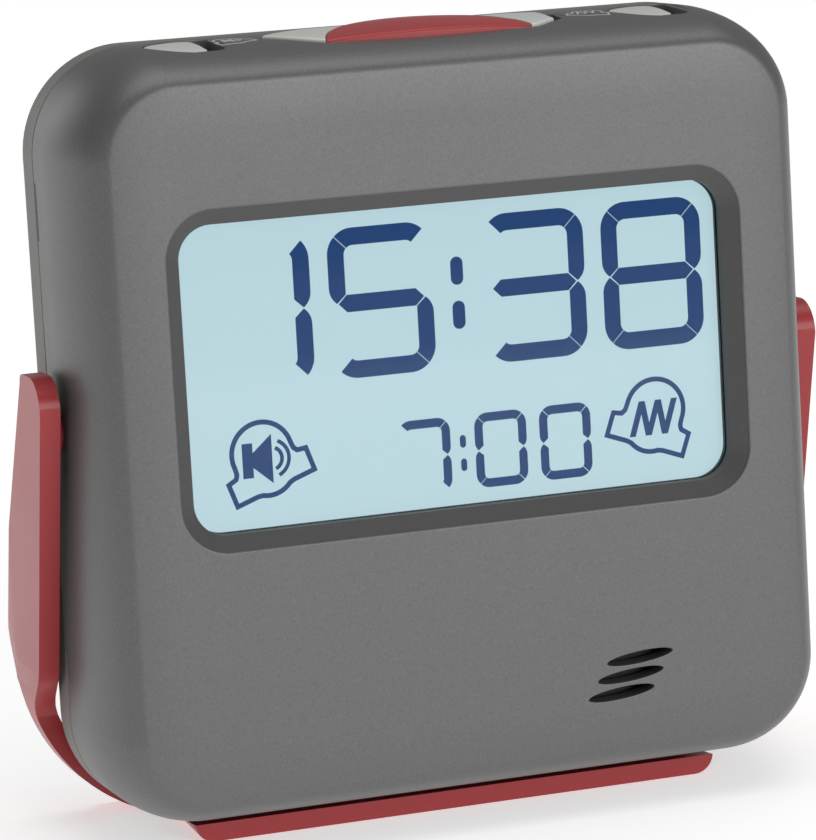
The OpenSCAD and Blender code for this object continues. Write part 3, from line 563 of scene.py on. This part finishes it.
for across in (True, False):
    blade = screw_tree.nodes.new("GeometryNodeMeshCube")
    reach = screw_tree.nodes.new("ShaderNodeCombineXYZ")
    reach.inputs[0 if across else 1].default_value = CROSS_L
    reach.inputs[2].default_value = CROSS_DEEP
    screw_tree.links.new(screw_in.outputs["Cross"], reach.inputs[1 if across else 0])
    screw_tree.links.new(reach.outputs["Vector"], blade.inputs["Size"])
    raised = screw_tree.nodes.new("GeometryNodeTransform")
    raised.inputs["Translation"].default_value = (0, 0, CROSS_UP)
    screw_tree.links.new(blade.outputs["Mesh"], raised.inputs["Geometry"])
    screw_tree.links.new(raised.outputs["Geometry"], cut.inputs["Mesh 2"])
stand_up = screw_tree.nodes.new("GeometryNodeTransform")
stand_up.inputs["Rotation"].default_value = (-math.pi / 2, 0, math.radians(CROSS_TURN))
screw_tree.links.new(cut.outputs["Mesh"], stand_up.inputs["Geometry"])
instance_tree(stand_up.outputs["Geometry"], screw_tree, screw_in, screw_out)
zinc = plastic("zinc_plate", (190, 190, 186), 0.28, metallic=1.0, grain=0.15, speckle=0.05, relief=0.002)
head_y = CASE_D - SCREW_WELL_DEEP + HEAD_UP
screw_places = [(sx * SCREW_X, head_y, sz * SCREW_Z) for sx in (-1, 1) for sz in (-1, 1)]
screws = grow_nodes(
    "case_screw_heads", screw_places, screw_tree, Head=HEAD_R, Height=HEAD_H, Cross=CROSS_W, Material=zinc,
)
seat(screws, "case", zinc, stands_for=["case_screws"])

# ------------------------------------------------------------------ rear keys
# Four round white keys of ABS that stand half a millimetre proud of the back: set, alarm, down and up.
# Each has a softened rim and a slightly hollow top with a printed mark.
KEY_PROUD, KEY_EDGE, KEY_DISH = 0.5, 0.35, 0.16
KEY_STEM_R, KEY_STEM_IN, KEY_FLANGE, KEY_FLANGE_IN, KEY_FLANGE_OUT = 1.5, 9.4, 1.0, 3.3, 2.4
MARK_R, MARK_LINE, MARK_HAND, MARK_SUNK, MARK_T = 0.95, 0.32, 0.28, 0.13, 0.06


def key_cap(name, x):
    """A turned key: stem, flange, barrel, rounded rim and hollow top."""
    outer = CASE_D + KEY_PROUD
    flange_in, flange_out = CASE_D - KEY_FLANGE_IN, CASE_D - KEY_FLANGE_OUT
    profile = [(KEY_STEM_R, CASE_D - KEY_STEM_IN), (KEY_STEM_R, flange_in), (KEY_R + KEY_FLANGE, flange_in)]
    profile += [(KEY_R + KEY_FLANGE, flange_out), (KEY_R, flange_out), (KEY_R, outer - KEY_EDGE)]
    for a in quarter_turn(5)[1:]:
        profile.append((KEY_R - KEY_EDGE * (1 - math.cos(a)), outer - KEY_EDGE * (1 - math.sin(a))))
    for k in range(1, 9):
        r = (KEY_R - KEY_EDGE) * (1 - k / 9)
        profile.append((r, outer - KEY_DISH * (1 - (r / (KEY_R - KEY_EDGE)) ** 2)))
    return loft(name, [disc(x, KEY_Z, r, y, 56) for r, y in profile])


def ribbon(points, width, closed=False):
    """Quads along a line of (u, v) points, width across, with mitred corners."""
    count = len(points)
    sides = []
    for k in range(count):
        here = Vector(points[k])
        before = Vector(points[k - 1]) if closed or k > 0 else None
        after = Vector(points[(k + 1) % count]) if closed or k < count - 1 else None
        one = (here - before).normalized() if before is not None else (after - here).normalized()
        two = (after - here).normalized() if after is not None else one
        mean = (one + two).normalized()
        normal = Vector((-mean.y, mean.x))
        reach = width / 2 / max(0.5, normal.dot(Vector((-two.y, two.x))))
        sides.append((here + normal * reach, here - normal * reach))
    last = count if closed else count - 1
    quads = []
    for k in range(last):
        near, far = sides[k], sides[(k + 1) % count]
        quads.append([near[0], near[1], far[1], far[0]])
    return quads


def print_flat(name, polygons, place, thickness):
    """Thin solids from flat polygons; place(u, v) gives a point on the surface they lie on."""
    bm = bmesh.new()
    for polygon in polygons:
        bm.faces.new([bm.verts.new(place(u, v)) for u, v in polygon])
    bmesh.ops.remove_doubles(bm, verts=bm.verts, dist=1e-3)
    bmesh.ops.recalc_face_normals(bm, faces=bm.faces)
    bmesh.ops.solidify(bm, geom=bm.faces[:], thickness=thickness)
    mesh = bpy.data.meshes.new(name)
    bm.to_mesh(mesh)
    bm.free()
    return add_object(name, mesh)


def ring_points(cx, cy, r, start=0.0, end=360.0, steps=32):
    """Points round an arc, angles in degrees."""
    angles = [math.radians(start + (end - start) * k / steps) for k in range(steps + 1)]
    return [(cx + r * math.cos(a), cy + r * math.sin(a)) for a in angles]


def triangle(up):
    """The up or down mark."""
    tip = 0.9 if up else -0.9
    return [[(-1.05, -tip * 0.7), (1.05, -tip * 0.7), (0, tip)]]


white_abs = plastic("white_abs", (214, 216, 210), 0.38, grain=0.4, speckle=0.02, relief=0.003, coat=0.15)
print_grey = plastic("grey_print", (96, 98, 102), 0.6, grain=0.2, speckle=0.05, relief=0.002)
ring_mark = ribbon(ring_points(0, 0, MARK_R)[:-1], MARK_LINE, closed=True)
marks = {
    "key_set": ring_mark,
    "key_alarm": ring_mark + ribbon([(0, 0.6), (0, 0), (0.5, 0)], MARK_HAND),
    "key_down": triangle(False),
    "key_up": triangle(True),
}
for k, (key, mark) in enumerate(marks.items()):
    x = (k - 1.5) * KEY_PITCH
    seat(key_cap(key + "_button", x), key, white_abs, stands_for=[key])
    top_y = CASE_D + KEY_PROUD - MARK_SUNK
    printed = print_flat(key + "_mark", mark, lambda u, v: (x - u, top_y, KEY_Z + v), MARK_T)
    seat(printed, key, print_grey)

# ------------------------------------------------------------------ display window, frame and panel
# A clear acrylic pane glued behind the bevel, a black moulded frame, and the liquid crystal panel, which
# with its dark blue segments on pale blue carries a painted glow (emission) to look evenly lit. The segments
# are made as thin inlays on the panel's face.
pane_finish = bpy.data.materials.new("clear_acrylic")
pane_finish.use_nodes = True
pane_nodes = pane_finish.node_tree.nodes
pane_links = pane_finish.node_tree.links
pane_nodes.remove(pane_nodes["Principled BSDF"])
see_through = pane_nodes.new("ShaderNodeBsdfTransparent")
shine = pane_nodes.new("ShaderNodeBsdfGlossy")
shine.inputs["Roughness"].default_value = 0.05
edge_light = pane_nodes.new("ShaderNodeFresnel")
edge_light.inputs["IOR"].default_value = 1.3
pane_mix = pane_nodes.new("ShaderNodeMixShader")
pane_links.new(edge_light.outputs["Fac"], pane_mix.inputs["Fac"])
pane_links.new(see_through.outputs["BSDF"], pane_mix.inputs[1])
pane_links.new(shine.outputs["BSDF"], pane_mix.inputs[2])
pane_links.new(pane_mix.outputs["Shader"], pane_nodes["Material Output"].inputs["Surface"])


def dress(node, material):
    """Gives a CAD node that stays its material."""
    mesh = frame["nodes"][node].data
    mesh.materials.clear()
    mesh.materials.append(material)


dress("display_window", pane_finish)
dress("lcd_frame", plastic("black_frame", (22, 22, 23), 0.5, grain=0.3, speckle=0.1))


def painted_glow(material, colour, strength):
    """Adds emission to a material: a painted glow that makes it look lit from within; on the floor it keeps
    the floor evenly bright.
    """
    shader = material.node_tree.nodes["Principled BSDF"]
    shader.inputs["Emission Color"].default_value = linear(*colour)
    shader.inputs["Emission Strength"].default_value = strength
    shader.inputs["Specular IOR Level"].default_value = 0.1
    return material


# Painted glow: a dim blue-grey base with pale blue emission, so the panel reads as an even pale blue with no
# shade across it.
panel_face = plastic("panel_face", (70, 81, 84), 0.5, grain=0.6, speckle=0.01, relief=0.0)
dress("lcd_panel", painted_glow(panel_face, (183, 212, 220), 0.93))

LCD_Y, INK_PROUD, INK_T = 3.45, 0.03, 0.02
BIG = {"w": 11.9, "h": 16.4, "t": 1.9}
SMALL = {"w": 6.1, "h": 8.3, "t": 0.98}
CUT = 0.11
STROKES = {"0": "abcdef", "1": "bc", "3": "abcdg", "5": "acdfg", "7": "abc", "8": "abcdefg"}


def top_stroke(w, h, t):
    """The horizontal stroke at the top of a digit, between two mitred round corners."""
    a, b, outer, inner = w / 2 - CUT / 2, h / 2, 1.5 * t, 0.5 * t
    points = ring_points(-a + outer, b - outer, outer, 135, 90, 6)
    points += ring_points(a - outer, b - outer, outer, 90, 45, 6)
    points += ring_points(a - t - inner, b - t - inner, inner, 45, 90, 4)
    return points + ring_points(-a + t + inner, b - t - inner, inner, 90, 135, 4)


def side_stroke(w, h, t):
    """The upright stroke at the upper right: round at the top corner and drawn in at the waist."""
    a, b, outer, inner = w / 2, h / 2 - CUT / 2, 1.5 * t, 0.5 * t
    waist = 0.92 * t
    turn = (waist * waist + t * t / 4) / t
    end = -math.degrees(math.asin(min(1, (waist - CUT / 2) / turn)))
    points = ring_points(a - outer, b - outer, outer, 45, 0, 6)
    points += ring_points(a - turn, waist, turn, 0, end, 8)
    points.append((a - t, t / 2 + CUT / 2))
    return points + ring_points(a - t - inner, b - t - inner, inner, 0, 45, 4)


def middle_stroke(w, t):
    """The bar across the waist, with pointed ends."""
    a = w / 2 - CUT * 0.7
    return [(a - t / 2, 0), (a - t, t / 2), (t - a, t / 2), (t / 2 - a, 0), (t - a, -t / 2), (a - t, -t / 2)]


def digit(character, cx, cz, w, h, t):
    """The lit strokes of one digit, round its middle."""
    flip = {"a": (1, 1), "d": (1, -1), "b": (1, 1), "c": (1, -1), "e": (-1, -1), "f": (-1, 1)}
    shapes = []
    for stroke in STROKES[character]:
        if stroke == "g":
            shape, (fx, fz) = middle_stroke(w, t), (1, 1)
        else:
            shape, (fx, fz) = (top_stroke if stroke in "ad" else side_stroke)(w, h, t), flip[stroke]
        shapes.append([(cx + fx * x, cz + fz * z) for x, z in shape])
    return shapes


def dot(cx, cz, w, h):
    """One dot of a colon, taller than it is wide."""
    reach = (h - w) / 2
    return ring_points(cx, cz + reach, w / 2, 0, 180, 12) + ring_points(cx, cz - reach, w / 2, 180, 360, 12)


def bell(cx, cz, angle, width=9.5, line=0.55):
    """A hand bell's outline with its clapper, width across the rim, turned by angle in degrees."""
    k = width / 9.7
    half = [(4.85, 0), (4.85, 2.65), (3.85, 2.85), (3.55, 3.3)] + ring_points(0, 4.25, 3.5, -4, 90, 12)
    outline = half + [(-x, z) for x, z in reversed(half[:-1])]
    outline += [(-2.3, 0)] + ring_points(0, 2.6, 3.2, 238, 302, 10) + [(2.3, 0)]
    turned = Matrix.Rotation(math.radians(angle), 2)
    placed = [turned @ Vector((x * k, z * k)) + Vector((cx, cz)) for x, z in outline]
    return ribbon(placed, line, closed=True)


def zigzag(x, z, rise, fall, height, width, peaks=3):
    """A vibration line with blunt tips: rise and fall are how far each leg goes across."""
    both, notch = rise + fall, width / (rise + fall)
    over, under = [(x - width / 2, z)], [(x + width / 2, z)]
    for k in range(peaks):
        foot = x + k * both
        over += [(foot + rise - width / 2, z + height), (foot + rise + width / 2, z + height)]
        if k < peaks - 1:
            under.append((foot + width / 2 + rise * (1 - notch), z + height * (1 - notch)))
            under += [(foot + both - width / 2, z), (foot + both + width / 2, z)]
            over.append((foot + both - width / 2 + rise * notch, z + height * notch))
    return [over + list(reversed(under))]


def speaker_mark(x, z, k=1.0):
    """A loudspeaker with two sound waves, k times its size on the display."""
    magnet = [(0, -1.9), (1.2, -1.9), (1.2, 1.9), (0, 1.9)]
    cone = [(1.2, -0.8), (3.4, -2.7), (3.4, 2.7), (1.2, 0.8)]
    marks = [[(x + u * k, z + v * k) for u, v in shape] for shape in (magnet, cone)]
    for r in (1.25, 2.05):
        marks += ribbon(ring_points(x + 3.25 * k, z, r * k, -66, 66, 14), 0.42 * k)
    return marks


TIME_Z, TIME = 13.55, (("1", -22.1), ("5", -8.1), ("3", 9.8), ("8", 23.8))
ALARM_Z, ALARM = -4.1, (("7", -4.1), ("0", 4.85), ("0", 12.5))
figures = []
for character, cx in TIME:
    figures += digit(character, cx, TIME_Z, **BIG)
for character, cx in ALARM:
    figures += digit(character, cx, ALARM_Z, **SMALL)
figures += [dot(0.75, TIME_Z + 2.4, 1.45, 3.1), dot(0.75, TIME_Z - 2.45, 1.45, 3.1)]
figures += [dot(0.4, ALARM_Z + 1.25, 0.7, 1.4), dot(0.4, ALARM_Z - 1.35, 0.7, 1.4)]
figures += bell(-21.35, -5.65, 19.6) + speaker_mark(-25.0, -2.4)
figures += bell(21.9, -5.6, -20) + zigzag(20.5, -4.5, 1.28, 0.67, 3.9, 0.72)
# Painted glow: the segments' near-black blue ink gets blue emission, so they read as an even blue, unshaded.
segment_ink = plastic("segment_ink", (4, 20, 40), 0.5, grain=0.6, speckle=0.02, relief=0.0)
segment_blue_glow = painted_glow(segment_ink, (14, 58, 112), 0.9)
segments = print_flat("display_segments", figures, lambda u, v: (u, LCD_Y - INK_PROUD, v), INK_T)
seat(segments, "case", segment_blue_glow)

# ------------------------------------------------------------------ top pictograms
# Two alarm marks tampon-printed in light grey on the lacquer, one beside each slider: sound on the left,
# vibration on the right.
PICTO_X, PICTO_Y, PICTO_W, PICTO_T = 20.3, 8.6, 4.6, 0.03


def on_top(u, v):
    """A point of the print, u across and v back, on the curved top of the case."""
    return (u, v, top_skin(u, v) + PICTO_T)


light_print = plastic("light_print", (188, 188, 184), 0.6, grain=0.2, speckle=0.05, relief=0.002)
for side, name in ((-1, "sound_print"), (1, "vibration_print")):
    cx = side * PICTO_X - 0.5
    shapes = bell(cx, PICTO_Y, -18 * side, PICTO_W, 0.26)
    if side < 0:
        shapes += speaker_mark(cx - 1.4, PICTO_Y + 1.8, 0.4)
    else:
        shapes += zigzag(cx - 0.9, PICTO_Y + 0.8, 0.6, 0.32, 1.7, 0.3)
    seat(print_flat(name, shapes, on_top, PICTO_T), "case", light_print)

# ------------------------------------------------------------------ snooze bar
# A white ABS bar that follows the curve of the case, with a domed red cap snapped into it. The bar
# carries a flange under the opening, and the whole of it presses down as one.
BAR_TOP, BAR_LOW, BAR_BLUNT, BAR_FIT, BAR_EDGE = 0.25, CASE_H / 2 - SNOOZE_DEEP, 1.7, 0.2, 0.25
FLANGE, FLANGE_T = 0.7, 0.9
CAP_TOP, CAP_DOME, CAP_HALF, CAP_ARC_R, CAP_SINK = 0.75, 0.62, 12.0, 12.3, 0.5
CAP_BACK, CAP_LOW, CAP_EDGE, CAP_FIT = 0.8, 1.9, 0.3, 0.06


def proud_piece(name, outline, low, height_at, edge):
    """A solid with this outline whose top lies height_at(x, y) high and has a rounded rim."""
    rings = [[(x, y, low) for x, y in outline]]
    for a in quarter_turn(4):
        inner = grown(outline, -edge * (1 - math.cos(a)))
        rings.append([(x, y, height_at(x, y) - edge * (1 - math.sin(a))) for x, y in inner])
    count = len(outline) // 2
    rim = grown(outline, -edge)
    for k in range(1, 9):
        share = 1 - k / 8
        ring = []
        for i, (x, y) in enumerate(rim):
            across = rim[2 * count - 1 - i]
            middle = (y + across[1]) / 2
            v = middle + share * (y - middle)
            ring.append((x, v, height_at(x, v)))
        rings.append(ring)
    return loft(name, rings)


def cap_rear(x):
    """An arc across the bar, which the cap's back edge follows."""
    centre = TOP_Y + SNOOZE_W / 2 - CAP_BACK - CAP_ARC_R
    return centre + math.sqrt(max(0, CAP_ARC_R ** 2 - x * x))


def cap_front(x):
    """The cap's front edge lies along the bar's own."""
    return TOP_Y - snooze_half(x, -BAR_FIT)


def meeting(sign):
    """Where the arc meets the cap's front edge, on the side that sign names."""
    x = 0.0
    while cap_rear(sign * x) > cap_front(sign * x) + 0.02:
        x += 0.01
    return sign * x


def cap_back(x):
    """The cap's back edge, kept on the bar and just behind its front edge."""
    return max(cap_front(x) + 0.01, min(cap_rear(x), 2 * TOP_Y - cap_front(x)))


cap_outline = oval_outline(meeting(-1), meeting(1), cap_front, cap_back, 60)
bar_outline = centred_outline(
    snooze_left + BAR_FIT, SNOOZE_L / 2 - BAR_BLUNT, lambda x: max(0.02, snooze_half(x, -BAR_FIT)), 64,
)
flange_outline = centred_outline(
    snooze_left - FLANGE, SNOOZE_L / 2 + FLANGE, lambda x: max(0.02, snooze_half(x, FLANGE)), 64,
)
bar = proud_piece("snooze_bar_base", bar_outline, BAR_LOW, lambda x, y: top_skin(x, y) + BAR_TOP, BAR_EDGE)
flange = loft("flange", [[(x, y, z) for x, y in flange_outline] for z in (BAR_LOW, BAR_LOW + FLANGE_T)])
carve(bar, [flange], "UNION")
well_outline = grown(cap_outline, CAP_FIT)
well = [[(x, y, top_skin(x, y) - CAP_SINK) for x, y in well_outline]]
well.append([(x, y, CASE_H / 2 + 2) for x, y in well_outline])
carve(bar, [loft("well", well)])
seat(bar, "snooze_bar", white_abs, stands_for=["snooze_base"])


def cap_height(x, y):
    """Height of the domed cap: proud in the middle and nearly flush at the tips."""
    return top_skin(x, y) + CAP_TOP - CAP_DOME * (x / CAP_HALF) ** 2


cap = proud_piece("snooze_bar_cap", cap_outline, CASE_H / 2 - CAP_LOW, cap_height, CAP_EDGE)
red_abs = plastic("red_abs", (176, 42, 44), 0.4, grain=0.35, speckle=0.03, relief=0.006, coat=0.1)
seat(cap, "snooze_bar", red_abs, stands_for=["snooze_cap"])

# ------------------------------------------------------------------ sliders
# Two white knobs that slide to the right in their pockets. Each follows the curve of the case just under
# its surface, is cut blunt towards its travel, and runs on a stem down to its switch.
TRAVEL, KNOB_FIT, KNOB_SUNK, KNOB_EDGE = 1.8, 0.15, 0.1, 0.2
KNOB_END = POCKET_L / 2 - TRAVEL - 0.4
STEM_L, STEM_W, STEM_LOW = 2.4, 1.6, 35.1


def knob_half(x):
    """Half width of a knob at x: inside the pocket at both ends of its travel."""
    return max(0.02, min(pocket_half(x, -KNOB_FIT), pocket_half(x + TRAVEL, -KNOB_FIT)))


for side, node, body in ((-1, "slider_left", "sound_slider"), (1, "slider_right", "vibration_slider")):
    middle = side * SLIDER_X
    outline = [(x + middle, y) for x, y in centred_outline(pocket_left + KNOB_FIT, KNOB_END, knob_half)]
    knob_low = CASE_H / 2 - POCKET_DEEP + 0.1
    knob = proud_piece(node + "_knob", outline, knob_low, lambda x, y: top_skin(x, y) - KNOB_SUNK, KNOB_EDGE)
    stem_y = (TOP_Y - STEM_W / 2, TOP_Y + STEM_W / 2)
    stem = box_cutter("stem", (middle - STEM_L, middle), stem_y, (STEM_LOW, knob_low + 0.25))
    carve(knob, [stem], "UNION")
    seat(knob, body, white_abs, stands_for=[node])

# ------------------------------------------------------------------ stand
# One stirrup moulded in red ABS: two broad arms with hinge pins, a narrow band round the bottom corners
# and a foot that the clock leans on. Every moulded edge is softened. Its sizes here are metres.
SAME_POINT, STAND_EDGE = 2e-6, 0.0006
stand = frame["nodes"]["stand"].copy()
stand.data = frame["nodes"]["stand"].data.copy()
stand.name = "stand_moulding"
stand.parent = None
for key in list(stand.keys()):
    del stand[key]
bpy.context.scene.collection.objects.link(stand)
bm = bmesh.new()
bm.from_mesh(stand.data)
bmesh.ops.remove_doubles(bm, verts=bm.verts, dist=SAME_POINT)
bmesh.ops.dissolve_limit(bm, angle_limit=math.radians(0.6), verts=bm.verts, edges=bm.edges)
bm.to_mesh(stand.data)
bm.free()
soften = stand.modifiers.new("soften", "BEVEL")
soften.width = STAND_EDGE
soften.segments = 3
soften.limit_method = "ANGLE"
soften.angle_limit = math.radians(28)
soften.use_clamp_overlap = True
apply_modifiers(stand)
stand.data.transform(case_to_row.inverted())
stand_red = plastic("stand_red", (168, 44, 48), 0.36, grain=0.35, speckle=0.03, relief=0.006, coat=0.12)
seat(stand, "stand", stand_red, stands_for=["stand"], sharp=30)

# ------------------------------------------------------------------ pieces inside the case
# The works, hidden but for what shows through the sound slots or with the battery door off. Each keeps
# its CAD shape and gets the finish of its own stuff.
board_green = plastic("board_green", (28, 84, 52), 0.4, grain=0.8, speckle=0.1, relief=0.01, coat=0.4)
black_resin = plastic("black_resin", (20, 20, 20), 0.35, grain=0.6, speckle=0.1, relief=0.01)
steel = plastic("plated_steel", (196, 192, 184), 0.3, metallic=1.0, grain=0.3, speckle=0.06, relief=0.003)
rubber = plastic("black_rubber", (24, 24, 25), 0.8, grain=0.3, speckle=0.15, relief=0.02)
red_wire = plastic("red_wire", (170, 30, 34), 0.45, grain=0.4, speckle=0.04)
blue_wire = plastic("blue_wire", (36, 70, 160), 0.45, grain=0.4, speckle=0.04)
brass = plastic("weight_brass", (190, 160, 96), 0.35, metallic=1.0, grain=0.3, speckle=0.06)
diffuser = plastic("light_guide", (228, 230, 232), 0.3, grain=0.5, speckle=0.02)
zebra = plastic("zebra_rubber", (205, 130, 140), 0.7, grain=0.3, speckle=0.2)
inner = {
    board_green: ["main_board"],
    black_resin: ["controller_chip", "tact_switches", "speaker"],
    steel: ["quartz_crystal", "slide_switches", "vibration_motor", "motor_shaft", "spring_contacts",
            "plate_contacts", "board_screws"],
    rubber: ["speaker_gasket", "motor_boot"],
    red_wire: ["speaker_leads", "battery_leads"],
    blue_wire: ["motor_leads"],
    brass: ["eccentric_weight"],
    diffuser: ["backlight_panel"],
    zebra: ["zebra_strip"],
}
for material, names in inner.items():
    for name in names:
        dress(name, material)

# ------------------------------------------------------------------ battery cells
# Two AAA cells head to tail: a steel can under a printed sleeve, with a bare band at the positive end.
DARK_END = 0.013
cell_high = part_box("battery_cells")[1]
cell_sleeve = plastic("cell_sleeve", (196, 120, 40), 0.3, metallic=0.4, grain=0.5, speckle=0.04)
sleeve_tree = cell_sleeve.node_tree
where = sleeve_tree.nodes.new("ShaderNodeSeparateXYZ")
place = next(n for n in sleeve_tree.nodes if n.type == "TEX_COORD")
sleeve_tree.links.new(place.outputs["Object"], where.inputs["Vector"])
far = sleeve_tree.nodes.new("ShaderNodeMath")
far.operation = "GREATER_THAN"
far.inputs[1].default_value = cell_high.x - DARK_END
sleeve_tree.links.new(where.outputs["X"], far.inputs[0])
blend = sleeve_tree.nodes.new("ShaderNodeMix")
blend.data_type = "RGBA"
blend.inputs["B"].default_value = linear(34, 34, 36)
shader = sleeve_tree.nodes["Principled BSDF"]
sleeve_tree.links.new(shader.inputs["Base Color"].links[0].from_socket, blend.inputs["A"])
sleeve_tree.links.new(far.outputs["Value"], blend.inputs["Factor"])
sleeve_tree.links.new(blend.outputs["Result"], shader.inputs["Base Color"])
dress("battery_cells", cell_sleeve)

# ------------------------------------------------------------------ floor and lights
# A plain pale floor that fills the view, a large soft box overhead, and softer ones from both sides.
bpy.context.scene.view_settings.view_transform = "Standard"
FLOOR_HALF = 4
floor = add_object("floor", bpy.data.meshes.new("floor"))
floor_corners = [(x * FLOOR_HALF, y * FLOOR_HALF, 0) for x, y in ((-1, -1), (1, -1), (1, 1), (-1, 1))]
floor.data.from_pydata(floor_corners, [], [(0, 1, 2, 3)])
floor_paint = plastic("floor_paint", (236, 236, 236), 0.7, grain=3, speckle=0.01, relief=0.001)
painted_glow(floor_paint, (255, 255, 255), 0.5)
floor.data.materials.append(floor_paint)

world = bpy.data.worlds.new("studio")
bpy.context.scene.world = world
world.use_nodes = True
world.node_tree.nodes["Background"].inputs["Color"].default_value = (1, 1, 1, 1)
world.node_tree.nodes["Background"].inputs["Strength"].default_value = 0.25


def soft_light(name, place, size, power):
    """A square soft box aimed at the clock."""
    lamp = bpy.data.lights.new(name, "AREA")
    lamp.size = size
    lamp.energy = power
    light = add_object(name, lamp)
    light.location = place
    light.rotation_euler = (Vector((0, 0, 0.045)) - Vector(place)).to_track_quat("-Z", "Y").to_euler()


soft_light("overhead_light", (0.1, 0.1, 1.5), 1.4, 9)
soft_light("front_light", (0.5, -1.2, 0.5), 0.7, 6)
soft_light("rear_left_light", (-0.5, 1.1, 0.3), 0.5, 1.0)
